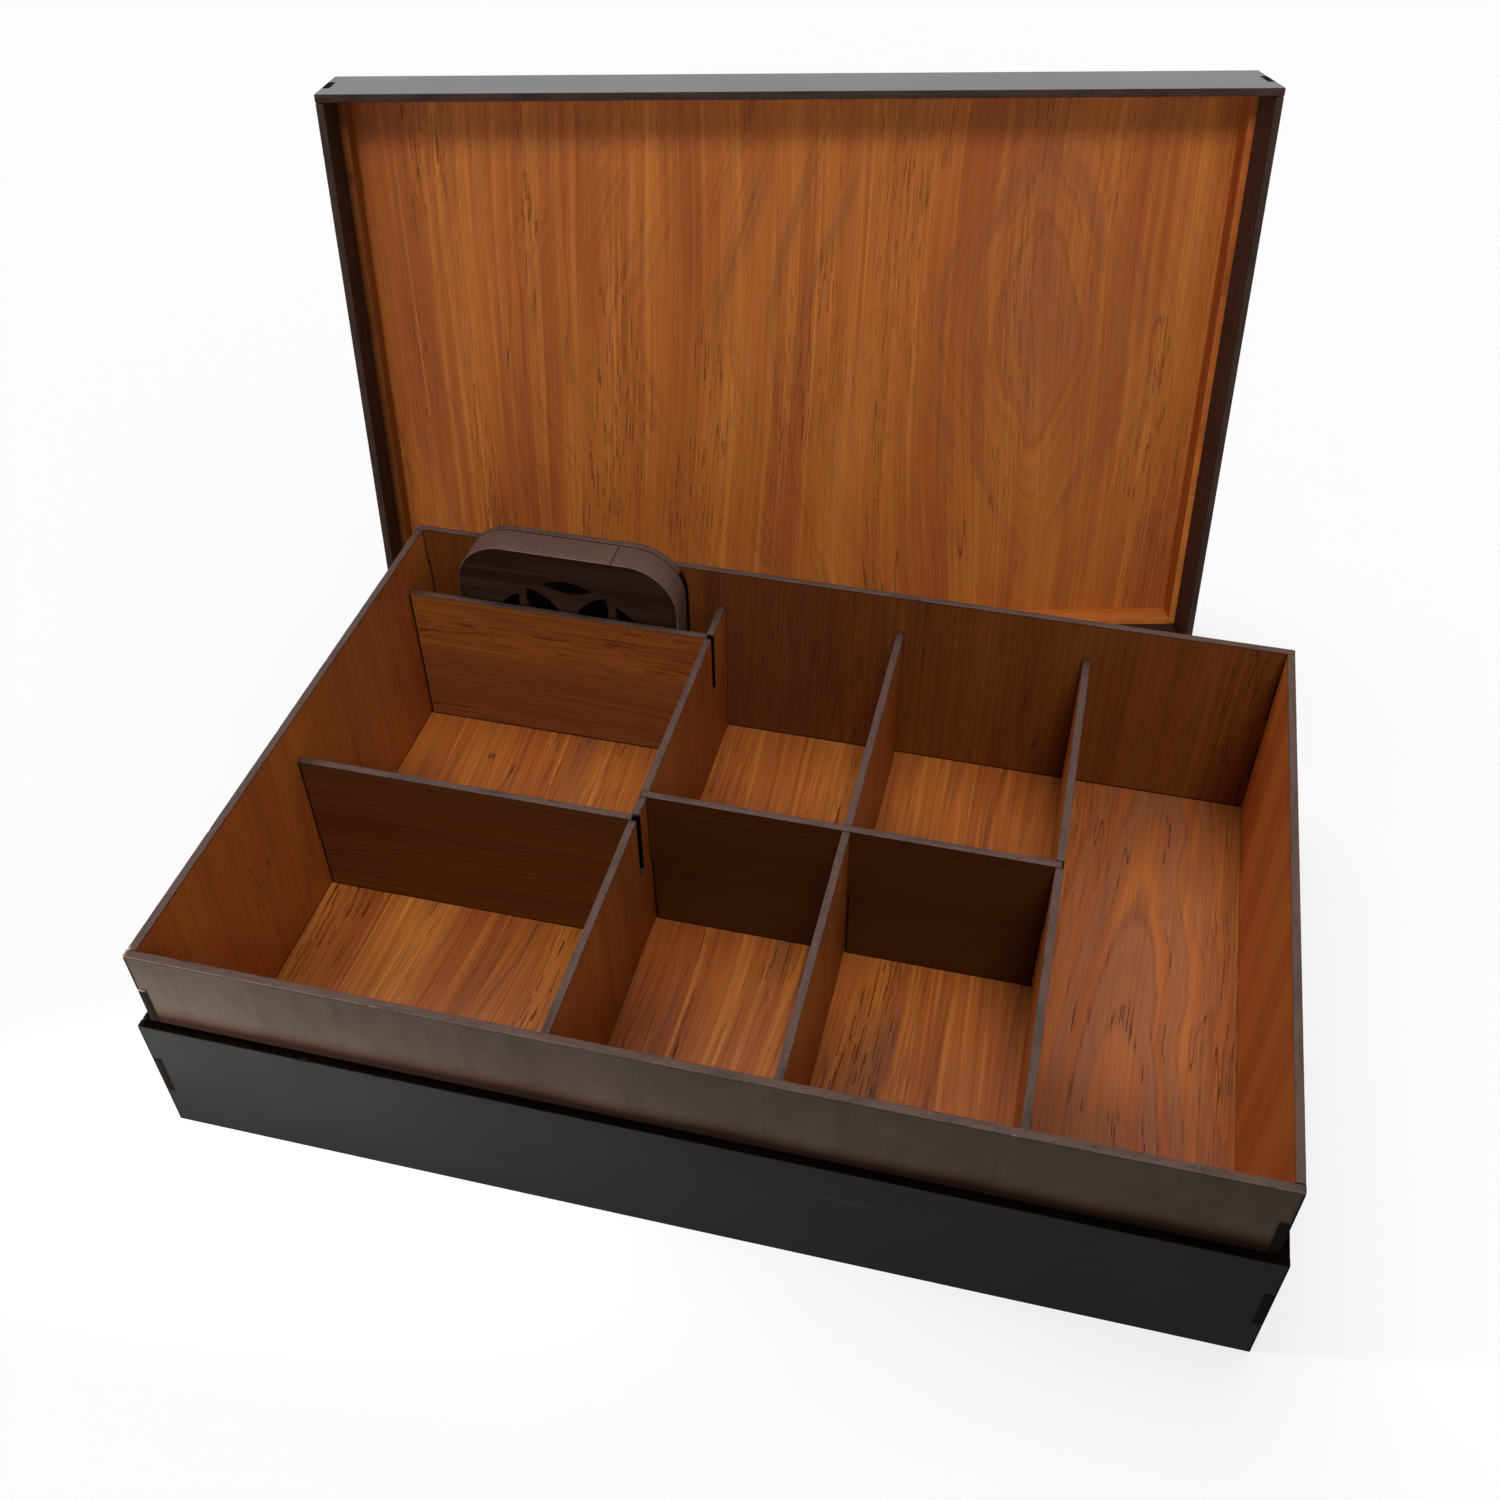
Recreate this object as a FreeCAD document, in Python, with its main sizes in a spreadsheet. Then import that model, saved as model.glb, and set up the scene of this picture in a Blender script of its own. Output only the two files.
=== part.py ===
import FreeCAD, Part
import os
import Sketcher

# Compartment box with a lift-off shoulder lid, cut from thin board.
# Frame: +Z up, +X along the length to the right, -Y towards the front, in millimetres.
# The origin is the middle of the box's underside.
# The lid stands behind the box on its long back wall, leaning back, with its inside to the front.

SIZES = {
    # Box
    "box_length": 380,
    "box_width": 254,
    "board": 3,
    "shell_height": 56,
    "rim_height": 90.5,
    # Play between the neck and the parts that slip over it, and at the glued finger corners
    "slip_gap": 0.3,
    "corner_gap": 0.3,
    # Dividers, with the middle of each board that runs along the length
    "divider_height": 70,
    "cell_width": 75,
    "cross_y": 3.2,
    "partition_back_y": 98.7,
    "partition_mid_y": -9.5,
    "slot_width": 3.6,
    "slot_depth": 30,
    "tongue_reach": 0.8,
    "cross_end_gap": 0.7,
    # Play all round a board that lifts out
    "loose_gap": 0.3,
    # Lid, with the middle of the edge it stands on and its turn and lean in degrees
    "lid_depth": 38,
    "strip_height": 11,
    "lid_foot_x": -35.65,
    "lid_foot_y": 208.7,
    "lid_yaw": 14.35,
    "lid_lean": 10.07,
    # Insert tile
    "insert_size": 98,
    "insert_radius": 22,
    "insert_x": -112.2,
    "insert_front_y": 101,
    "band_depth": 14,
    "band_wall": 2,
    "band_gap": 0.1,
    "plate_inset": 0.4,
    "plate_joint": 0.6,
    # Rosette pierced through the insert's front plate
    "petal_near": 5,
    "petal_far": 35,
    "petal_half_width": 6.5,
    "lens_radius": 32,
    "lens_half_length": 12,
    "lens_half_width": 4,
}
ROSETTE_FOLD = 6
OUTER_FINGERS = 3
NECK_FINGERS = 5

# Faces of the box, as distances from its middle
SHELL_OUT_X = "(Sizes.box_length / 2)"
SHELL_OUT_Y = "(Sizes.box_width / 2)"
SHELL_IN_X = f"({SHELL_OUT_X} - Sizes.board)"
SHELL_IN_Y = f"({SHELL_OUT_Y} - Sizes.board)"
NECK_OUT_X = f"({SHELL_IN_X} - Sizes.slip_gap)"
NECK_OUT_Y = f"({SHELL_IN_Y} - Sizes.slip_gap)"
NECK_IN_X = f"({NECK_OUT_X} - Sizes.board)"
NECK_IN_Y = f"({NECK_OUT_Y} - Sizes.board)"

# Heights of the dividers
FLOOR_TOP = "Sizes.board"
DIVIDER_TOP = "(Sizes.board + Sizes.divider_height)"
HALF_LAP = "(Sizes.board + Sizes.divider_height / 2)"
SLOT_FLOOR = f"({DIVIDER_TOP} - Sizes.slot_depth)"

# Left face of each full-width divider, counted in equal cells from the right neck wall
DIVIDER_X = {
    "left": f"({NECK_IN_X} - 3 * (Sizes.cell_width + Sizes.board))",
    "middle": f"({NECK_IN_X} - 2 * (Sizes.cell_width + Sizes.board))",
    "right": f"({NECK_IN_X} - Sizes.cell_width - Sizes.board)",
}

# Turns that stand a flat board up: yaw about Z, then roll about its own X
LYING = "0; 0; 0"
ALONG_X = "0; 0; 90"
ALONG_Y = "90; 0; 90"


def make_sheet(doc):
    """Put each driving size into its own aliased cell."""
    sheet = doc.addObject("Spreadsheet::Sheet", "Sizes")
    for row, (name, value) in enumerate(SIZES.items(), start=1):
        sheet.set(f"A{row}", name)
        sheet.set(f"B{row}", str(value))
        sheet.setAlias(f"B{row}", name)
    doc.recompute()


def placed(x, y, z, turn):
    """Placement expression that moves a board to a point and stands it up."""
    return f"create(<<placement>>; create(<<vector>>; {x}; {y}; {z}); create(<<rotation>>; {turn}))"


def placed_in_lid(x, y, z, turn):
    """The same in the lid's own frame: X along it, Y up it, Z from its top face to its open side."""
    stand = placed("Sizes.lid_foot_x", "Sizes.lid_foot_y", "0", "Sizes.lid_yaw; 0; 90 - Sizes.lid_lean")
    centre = placed("0", SHELL_OUT_Y, "0", LYING)
    return f"{stand} * {centre} * {placed(x, y, z, turn)}"


def flat_sketch(body, name):
    """A sketch on the body's own XY plane, the plane of the uncut board."""
    sketch = body.newObject("Sketcher::SketchObject", name)
    plane = [part for part in body.Origin.OriginFeatures if part.Role == "XY_Plane"][0]
    sketch.AttachmentSupport = [(plane, "")]
    sketch.MapMode = "FlatFace"
    return sketch


def point_of(sketch, x, y):
    return FreeCAD.Vector(float(sketch.evalExpression(x)), float(sketch.evalExpression(y)), 0)


def bind_start(sketch, edge, x, y):
    """Hold the start of an edge at two distances from the sketch's origin, each bound to the sheet."""
    start = point_of(sketch, x, y)
    for kind, letter, value, expression in (("DistanceX", "x", start.x, x), ("DistanceY", "y", start.y, y)):
        name = f"{letter}{edge}"
        index = sketch.addConstraint(Sketcher.Constraint(kind, -1, 1, edge, 1, value))
        sketch.renameConstraint(index, name)
        sketch.setExpression(f"Constraints.{name}", expression)


def draw_polygon(sketch, outline):
    """Closed outline of straight cuts through points given as pairs of expressions."""
    points = [point_of(sketch, x, y) for x, y in outline]
    followers = points[1:] + points[:1]
    for start, end in zip(points, followers):
        sketch.addGeometry(Part.LineSegment(start, end), False)
    for edge, (x, y) in enumerate(outline):
        sketch.addConstraint(Sketcher.Constraint("Coincident", edge, 2, (edge + 1) % len(outline), 1))
        bind_start(sketch, edge, x, y)


def draw_rounded_square(sketch, half, radius):
    """Square of a half size with round corners about the sketch's origin: four lines and four arcs."""
    straight = f"({half} - {radius})"
    sides = [
        ((f"-{straight}", f"-{half}"), (straight, f"-{half}")),
        ((half, f"-{straight}"), (half, straight)),
        ((straight, half), (f"-{straight}", half)),
        ((f"-{half}", straight), (f"-{half}", f"-{straight}")),
    ]
    turn_middles = [(straight, f"-{straight}"), (straight, straight), (f"-{straight}", straight),
                    (f"-{straight}", f"-{straight}")]
    quarter = FreeCAD.Units.Quantity("90 deg").getValueAs("rad").Value
    size = float(sketch.evalExpression(radius))
    up = FreeCAD.Vector(0, 0, 1)
    for corner, (start, end) in enumerate(sides):
        sketch.addGeometry(Part.LineSegment(point_of(sketch, *start), point_of(sketch, *end)), False)
        circle = Part.Circle(point_of(sketch, *turn_middles[corner]), up, size)
        sketch.addGeometry(Part.ArcOfCircle(circle, (corner - 1) * quarter, corner * quarter), False)
    for corner, (start, end) in enumerate(sides):
        line = 2 * corner
        arc = line + 1
        following = (line + 2) % (2 * len(sides))
        sketch.addConstraint(Sketcher.Constraint("Tangent", line, 2, arc, 1))
        sketch.addConstraint(Sketcher.Constraint("Tangent", arc, 2, following, 1))
        bind_start(sketch, line, *start)


def draw_lens(sketch, start, end, half_length, half_width):
    """Pointed lens between two points: two equal arcs that bulge to either side."""
    tips = [point_of(sketch, *start), point_of(sketch, *end)]
    middle = (tips[0] + tips[1]) / 2
    along = (tips[1] - tips[0]).normalize()
    bulge = FreeCAD.Vector(-along.y, along.x, 0) * float(sketch.evalExpression(half_width))
    sketch.addGeometry(Part.Arc(tips[0], middle - bulge, tips[1]), False)
    sketch.addGeometry(Part.Arc(tips[1], middle + bulge, tips[0]), False)
    sketch.addConstraint(Sketcher.Constraint("Coincident", 0, 2, 1, 1))
    sketch.addConstraint(Sketcher.Constraint("Coincident", 1, 2, 0, 1))
    bind_start(sketch, 0, *start)
    radius = f"({half_length} * {half_length} + {half_width} * {half_width}) / (2 * {half_width})"
    for kind, place, value, expression in (
        ("DistanceX", "tip_x", tips[1].x, end[0]),
        ("DistanceY", "tip_y", tips[1].y, end[1]),
    ):
        index = sketch.addConstraint(Sketcher.Constraint(kind, -1, 1, 0, 2, value))
        sketch.renameConstraint(index, place)
        sketch.setExpression(f"Constraints.{place}", expression)
    index = sketch.addConstraint(Sketcher.Constraint("Radius", 0, float(sketch.evalExpression(radius))))
    sketch.renameConstraint(index, "bow")
    sketch.setExpression("Constraints.bow", radius)
    sketch.addConstraint(Sketcher.Constraint("Equal", 0, 1))


def pad(body, sketch, thickness):
    """Give the drawn outline its thickness."""
    feature = body.newObject("PartDesign::Pad", f"{body.Name}_pad")
    feature.Profile = sketch
    feature.setExpression("Length", thickness)


def board(doc, label, outline, placement):
    """One flat board: its outline cut from the sheet and set in place."""
    body = doc.addObject("PartDesign::Body", label)
    body.Label = label
    sketch = flat_sketch(body, f"{label}_outline")
    draw_polygon(sketch, outline)
    pad(body, sketch, "Sizes.board")
    body.setExpression("Placement", placement)


def rectangle(left, right, bottom, top):
    return [(left, bottom), (right, bottom), (right, top), (left, top)]


def fingered(even_half, odd_half, bottom, top, count):
    """Upright board whose two ends step in or out at each of a number of equal heights."""
    levels = [f"({bottom} + ({top} - {bottom}) * {step} / {count})" for step in range(count + 1)]
    right = []
    for step in range(count):
        half = odd_half if step % 2 else even_half
        right.append((half, levels[step]))
        right.append((half, levels[step + 1]))
    left = [(f"-{half}", level) for half, level in reversed(right)]
    return right + left


def slotted_top(half, slots):
    """Full-width divider with slots cut down from its top edge, listed from back to front."""
    outline = [(f"-{half}", FLOOR_TOP), (half, FLOOR_TOP), (half, DIVIDER_TOP)]
    for middle, floor in slots:
        back = f"({middle} + Sizes.slot_width / 2)"
        front = f"({middle} - Sizes.slot_width / 2)"
        outline += [(back, DIVIDER_TOP), (back, floor), (front, floor), (front, DIVIDER_TOP)]
    outline.append((f"-{half}", DIVIDER_TOP))
    return outline


def make_finger_frame(doc, names, half_x, half_y, bottom, top, count, place):
    """Four walls on a rectangle: the long ones run through, the short ones' fingers show on them."""
    inner_x = f"({half_x} - Sizes.board)"
    inner_y = f"({half_y} - Sizes.board)"
    shy_y = f"({inner_y} - Sizes.corner_gap)"
    long_wall = fingered(half_x, inner_x, bottom, top, count)
    short_wall = fingered(shy_y, half_y, bottom, top, count)
    board(doc, names["front"], long_wall, place("0", f"-{inner_y}", "0", ALONG_X))
    board(doc, names["back"], long_wall, place("0", half_y, "0", ALONG_X))
    board(doc, names["left"], short_wall, place(f"-{half_x}", "0", "0", ALONG_Y))
    board(doc, names["right"], short_wall, place(inner_x, "0", "0", ALONG_Y))


def make_box(doc):
    """Floor, outer walls and the neck that stands on the floor inside them."""
    floor = rectangle(f"-{SHELL_IN_X}", SHELL_IN_X, f"-{SHELL_IN_Y}", SHELL_IN_Y)
    board(doc, "floor_panel", floor, placed("0", "0", "0", LYING))
    outer = {side: f"outer_{side}" for side in ("front", "back", "left", "right")}
    neck = {side: f"neck_{side}" for side in ("front", "back", "left", "right")}
    outer_size = (SHELL_OUT_X, SHELL_OUT_Y, "0", "Sizes.shell_height")
    neck_size = (NECK_OUT_X, NECK_OUT_Y, FLOOR_TOP, "Sizes.rim_height")
    make_finger_frame(doc, outer, *outer_size, OUTER_FINGERS, placed)
    make_finger_frame(doc, neck, *neck_size, NECK_FINGERS, placed)


def make_dividers(doc):
    """Three dividers across the width, one half-lapped over them, and two short partitions."""
    half = f"({NECK_IN_Y} - Sizes.loose_gap)"
    cross_slot = ("Sizes.cross_y", HALF_LAP)
    slots = {
        "left": [("Sizes.partition_back_y", SLOT_FLOOR), cross_slot, ("Sizes.partition_mid_y", SLOT_FLOOR)],
        "middle": [cross_slot],
        "right": [cross_slot],
    }
    for side, cuts in slots.items():
        board(doc, f"divider_{side}", slotted_top(half, cuts), placed(DIVIDER_X[side], "0", "0", ALONG_Y))

    left_end = DIVIDER_X["left"]
    left_shoulder = f"({DIVIDER_X['left']} + Sizes.board + Sizes.loose_gap)"
    lap_left = f"({DIVIDER_X['middle']} + Sizes.board / 2 - Sizes.slot_width / 2)"
    lap_right = f"({DIVIDER_X['middle']} + Sizes.board / 2 + Sizes.slot_width / 2)"
    right_shoulder = f"({DIVIDER_X['right']} - Sizes.loose_gap)"
    right_end = f"({DIVIDER_X['right']} + Sizes.board - Sizes.cross_end_gap)"
    cross = [
        (left_shoulder, FLOOR_TOP),
        (lap_left, FLOOR_TOP),
        (lap_left, HALF_LAP),
        (lap_right, HALF_LAP),
        (lap_right, FLOOR_TOP),
        (right_shoulder, FLOOR_TOP),
        (right_shoulder, HALF_LAP),
        (right_end, HALF_LAP),
        (right_end, DIVIDER_TOP),
        (left_end, DIVIDER_TOP),
        (left_end, HALF_LAP),
        (left_shoulder, HALF_LAP),
    ]
    board(doc, "cross_divider", cross, placed("0", "Sizes.cross_y + Sizes.board / 2", "0", ALONG_X))

    wall_end = f"(-{NECK_IN_X} + Sizes.loose_gap)"
    shoulder = f"({DIVIDER_X['left']} - Sizes.loose_gap)"
    tongue_end = f"({DIVIDER_X['left']} + Sizes.tongue_reach)"
    tongue_floor = f"({SLOT_FLOOR} + Sizes.loose_gap)"
    partition = [
        (wall_end, FLOOR_TOP),
        (shoulder, FLOOR_TOP),
        (shoulder, tongue_floor),
        (tongue_end, tongue_floor),
        (tongue_end, DIVIDER_TOP),
        (wall_end, DIVIDER_TOP),
    ]
    for side in ("back", "mid"):
        back_face = f"Sizes.partition_{side}_y + Sizes.board / 2"
        board(doc, f"partition_{side}", partition, placed("0", back_face, "0", ALONG_X))


def make_lid(doc):
    """Top panel and lining between four finger-jointed walls, and the strips that stop it on the neck."""
    panel = rectangle(f"-{SHELL_IN_X}", SHELL_IN_X, f"-{SHELL_IN_Y}", SHELL_IN_Y)
    board(doc, "lid_top_panel", panel, placed_in_lid("0", "0", "0", LYING))
    board(doc, "lid_lining_panel", panel, placed_in_lid("0", "0", "Sizes.board", LYING))
    # The wall that the lid stands on is the back one once the lid is turned over onto the box
    walls = {side: f"lid_wall_{side}" for side in ("left", "right")}
    walls.update(front="lid_wall_back", back="lid_wall_front")
    lid_size = (SHELL_OUT_X, SHELL_OUT_Y, "0", "Sizes.lid_depth")
    make_finger_frame(doc, walls, *lid_size, OUTER_FINGERS, placed_in_lid)

    low = "(2 * Sizes.board)"
    high = f"({low} + Sizes.strip_height)"
    between = f"({SHELL_IN_X} - Sizes.board)"
    long_strip = rectangle(f"-{between}", between, low, high)
    short_strip = rectangle(f"-{SHELL_IN_Y}", SHELL_IN_Y, low, high)
    inner_y = f"({SHELL_IN_Y} - Sizes.board)"
    board(doc, "lid_strip_back", long_strip, placed_in_lid("0", f"-{inner_y}", "0", ALONG_X))
    board(doc, "lid_strip_front", long_strip, placed_in_lid("0", SHELL_IN_Y, "0", ALONG_X))
    board(doc, "lid_strip_left", short_strip, placed_in_lid(f"-{SHELL_IN_X}", "0", "0", ALONG_Y))
    board(doc, "lid_strip_right", short_strip, placed_in_lid(between, "0", "0", ALONG_Y))


def insert_layer(doc, label, half, radius, back_y, thickness, hollow=None):
    """One rounded square layer of the insert, standing on the floor; hollow leaves a wall of a width."""
    body = doc.addObject("PartDesign::Body", label)
    body.Label = label
    sketch = flat_sketch(body, f"{label}_outline")
    draw_rounded_square(sketch, half, radius)
    pad(body, sketch, thickness)
    if hollow:
        doc.recompute()
        full = body.Shape.Volume
        inside = flat_sketch(body, f"{label}_inside")
        draw_rounded_square(inside, f"({half} - {hollow})", f"({radius} - {hollow})")
        cut_through(body, inside, f"{label}_hollow")
        doc.recompute()
        if body.Shape.Volume >= full:
            raise RuntimeError(f"{label}: the hollow cut nothing")
    middle_z = f"{FLOOR_TOP} + Sizes.insert_size / 2"
    body.setExpression("Placement", placed("Sizes.insert_x", back_y, middle_z, ALONG_X))
    return body


def cut_through(body, sketch, name):
    """Cut a drawn shape right through the board, upwards from the plane it is drawn on."""
    pocket = body.newObject("PartDesign::Pocket", name)
    pocket.Profile = sketch
    pocket.Type = "ThroughAll"
    pocket.Reversed = True
    return pocket


def pierce_round(doc, body, sketch, name):
    """Cut a shape through the plate and repeat the cut round the plate's middle."""
    pocket = cut_through(body, sketch, f"{name}_cut")
    pattern = body.newObject("PartDesign::PolarPattern", f"{name}_ring")
    pattern.Originals = [pocket]
    pattern.Axis = (sketch, ["N_Axis"])
    pattern.Angle = 360
    pattern.Occurrences = ROSETTE_FOLD
    before = body.Shape.Volume
    body.Tip = pattern
    doc.recompute()
    if body.Shape.Volume >= before:
        raise RuntimeError(f"{name}: the piercing cut nothing")


def make_insert(doc):
    """Rounded square tile: pierced front plate and core inside a band, and a plate behind them."""
    half = "(Sizes.insert_size / 2)"
    front = "Sizes.insert_front_y"
    inner_half = f"({half} - Sizes.band_wall - Sizes.band_gap)"
    inner_radius = "(Sizes.insert_radius - Sizes.band_wall - Sizes.band_gap)"
    plate_front = f"({front} + Sizes.plate_inset)"
    plate_back = f"({plate_front} + Sizes.board)"
    core_back = f"({front} + Sizes.band_depth + Sizes.plate_joint)"
    insert_layer(doc, "insert_band", half, "Sizes.insert_radius", f"{front} + Sizes.band_depth",
                 "Sizes.band_depth", hollow="Sizes.band_wall")
    insert_layer(doc, "insert_core", inner_half, inner_radius, core_back, f"{core_back} - {plate_back}")
    insert_layer(doc, "insert_back_plate", half, "Sizes.insert_radius", f"{core_back} + Sizes.board",
                 "Sizes.board")
    plate = insert_layer(doc, "insert_front_plate", inner_half, inner_radius, plate_back, "Sizes.board")
    doc.recompute()

    petal = flat_sketch(plate, "petal")
    petal_tips = [("Sizes.petal_near", "0"), ("Sizes.petal_far", "0")]
    petal_half = "((Sizes.petal_far - Sizes.petal_near) / 2)"
    draw_lens(petal, *petal_tips, petal_half, "Sizes.petal_half_width")
    pierce_round(doc, plate, petal, "petal")

    lens = flat_sketch(plate, "lens")
    lens_tips = [(f"{sign}Sizes.lens_half_length", "Sizes.lens_radius") for sign in ("-", "")]
    draw_lens(lens, *lens_tips, "Sizes.lens_half_length", "Sizes.lens_half_width")
    pierce_round(doc, plate, lens, "lens")


def export_parts(doc):
    """Check every object and every solid, then write one file for each piece."""
    failed = [item.Label for item in doc.Objects if {"Invalid", "Error"} & set(item.State)]
    if failed:
        raise RuntimeError(f"objects that failed: {failed}")
    pieces = [item for item in doc.Objects if item.TypeId == "PartDesign::Body"]
    for piece in pieces:
        shape = piece.Shape
        if shape.isNull() or not shape.isValid() or len(shape.Solids) != 1:
            raise RuntimeError(f"{piece.Label} is not one valid solid")
    os.makedirs("parts", exist_ok=True)
    for piece in pieces:
        piece.Shape.exportStep(f"parts/{piece.Label}.step")
    print(f"{len(pieces)} pieces written")


def main():
    doc = FreeCAD.newDocument("compartment_box")
    make_sheet(doc)
    make_box(doc)
    make_dividers(doc)
    make_lid(doc)
    make_insert(doc)
    doc.recompute()
    export_parts(doc)


main()
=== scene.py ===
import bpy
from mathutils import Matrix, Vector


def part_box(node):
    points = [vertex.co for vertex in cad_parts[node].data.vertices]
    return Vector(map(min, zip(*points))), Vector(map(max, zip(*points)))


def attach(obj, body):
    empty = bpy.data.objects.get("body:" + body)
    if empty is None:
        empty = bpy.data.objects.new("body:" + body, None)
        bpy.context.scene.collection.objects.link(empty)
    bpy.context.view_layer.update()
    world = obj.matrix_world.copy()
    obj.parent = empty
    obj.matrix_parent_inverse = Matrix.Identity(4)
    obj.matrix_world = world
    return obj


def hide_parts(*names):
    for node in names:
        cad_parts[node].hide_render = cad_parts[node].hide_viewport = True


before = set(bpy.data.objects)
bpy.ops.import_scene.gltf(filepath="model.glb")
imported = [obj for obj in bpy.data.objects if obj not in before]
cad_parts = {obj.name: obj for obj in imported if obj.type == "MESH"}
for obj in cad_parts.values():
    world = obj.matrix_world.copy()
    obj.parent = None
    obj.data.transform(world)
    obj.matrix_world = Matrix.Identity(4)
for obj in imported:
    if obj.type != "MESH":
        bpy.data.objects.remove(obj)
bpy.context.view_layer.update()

import zlib
from typing import NamedTuple

import bmesh
import bpy
import numpy as np
from bpy.props import FloatProperty, FloatVectorProperty, PointerProperty
from mathutils import Vector

bl_info = {
    "name": "Compartment box",
    "version": (1, 0, 0),
    "blender": (4, 5, 0),
    "location": "3D View > Sidebar > Compartment box",
    "description": "Dresses a compartment box and its lift-off lid in laser-cut, teak-faced board",
    "category": "Object",
}

MM = 0.001

# Merging a copy of a CAD node's triangles back into its flat faces
MERGE_DISTANCE = 1e-6
FLAT_ANGLE = 0.005
FACING_COSINE = 0.99


# Reading the frame

class Faces(NamedTuple):
    """Points of a mesh, their order round its faces, and each face's normal, area, first corner and count."""

    points: np.ndarray
    order: np.ndarray
    normals: np.ndarray
    areas: np.ndarray
    starts: np.ndarray
    counts: np.ndarray


def unit(vector):
    """A vector made one long."""
    return np.asarray(vector, float) / np.linalg.norm(vector)


def gather(items, name, width=1, kind=float):
    """One number or vector from each item of a mesh."""
    values = np.empty(len(items) * width, kind)
    items.foreach_get(name, values)
    return values.reshape(-1, width) if width > 1 else values


def merged_copy(node):
    """Copy of a CAD node's mesh, with its triangles merged into flat faces."""
    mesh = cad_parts[node].data.copy()
    work = bmesh.new()
    work.from_mesh(mesh)
    bmesh.ops.remove_doubles(work, verts=work.verts, dist=MERGE_DISTANCE)
    bmesh.ops.dissolve_limit(work, angle_limit=FLAT_ANGLE, verts=work.verts, edges=work.edges)
    work.to_mesh(mesh)
    work.free()
    return mesh


def flat_faces(node):
    """The merged faces of a CAD node."""
    mesh = merged_copy(node)
    faces = Faces(
        points=gather(mesh.vertices, "co", 3),
        order=gather(mesh.loops, "vertex_index", kind=np.int32),
        normals=gather(mesh.polygons, "normal", 3),
        areas=gather(mesh.polygons, "area"),
        starts=gather(mesh.polygons, "loop_start", kind=np.int32),
        counts=gather(mesh.polygons, "loop_total", kind=np.int32),
    )
    bpy.data.meshes.remove(mesh)
    return faces


def read_outline(node, facing):
    """Corners, in order, of a board's face that way, with the face's normal and the board's thickness."""
    faces = flat_faces(node)
    towards = faces.normals @ unit(facing) > FACING_COSINE
    if not towards.any():
        raise RuntimeError(f"{node} has no face that way")
    face = np.argmax(np.where(towards, faces.areas, 0))
    first = faces.starts[face]
    corners = faces.points[faces.order[first:first + faces.counts[face]]]
    normal = unit(faces.normals[face])
    levels = faces.points @ normal
    return corners, normal, levels.max() - levels.min()


def lid_axes():
    """Right, up and inward directions of the standing lid, from the front face of its lining."""
    faces = flat_faces("lid_lining_panel")
    forward = faces.normals[:, 1] < 0
    inward = unit(faces.normals[np.argmax(np.where(forward, faces.areas, 0))])
    right = unit(np.cross((0.0, 0.0, 1.0), inward))
    up = np.cross(inward, right)
    return right, up, inward


LID_RIGHT, LID_UP, LID_IN = lid_axes()
AXES = {
    "+x": np.array((1.0, 0.0, 0.0)), "-x": np.array((-1.0, 0.0, 0.0)),
    "+y": np.array((0.0, 1.0, 0.0)), "-y": np.array((0.0, -1.0, 0.0)),
    "+z": np.array((0.0, 0.0, 1.0)),
    "lid_right": LID_RIGHT, "lid_left": -LID_RIGHT,
    "lid_up": LID_UP, "lid_down": -LID_UP,
    "lid_in": LID_IN, "lid_out": -LID_IN,
}


# Settings that a user would change

class BoardSettings(bpy.types.PropertyGroup):
    """Cut and wear of every board."""

    arris: FloatProperty(name="Arris", description="Radius of a worn cut edge",
                         default=0.22 * MM, unit="LENGTH")
    scorch: FloatProperty(name="Scorch", description="Width of the darkened face beside a cut",
                          default=1.1 * MM, unit="LENGTH")
    ripple: FloatProperty(name="Ripple", description="Change of the arris along an edge, as a share of it",
                          default=0.35, subtype="FACTOR")
    nick: FloatProperty(name="Nick", description="Depth of the deepest nick in an edge",
                        default=0.45 * MM, unit="LENGTH")
    nick_spacing: FloatProperty(name="Nick spacing", description="Mean run of edge between two nicks",
                                default=85 * MM, unit="LENGTH")
    step: FloatProperty(name="Step", description="Distance between two points along a cut",
                        default=1.5 * MM, unit="LENGTH")


def paint(name, description, colour):
    """A colour setting."""
    return FloatVectorProperty(name=name, description=description, default=colour,
                               subtype="COLOR", min=0, max=1)


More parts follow.
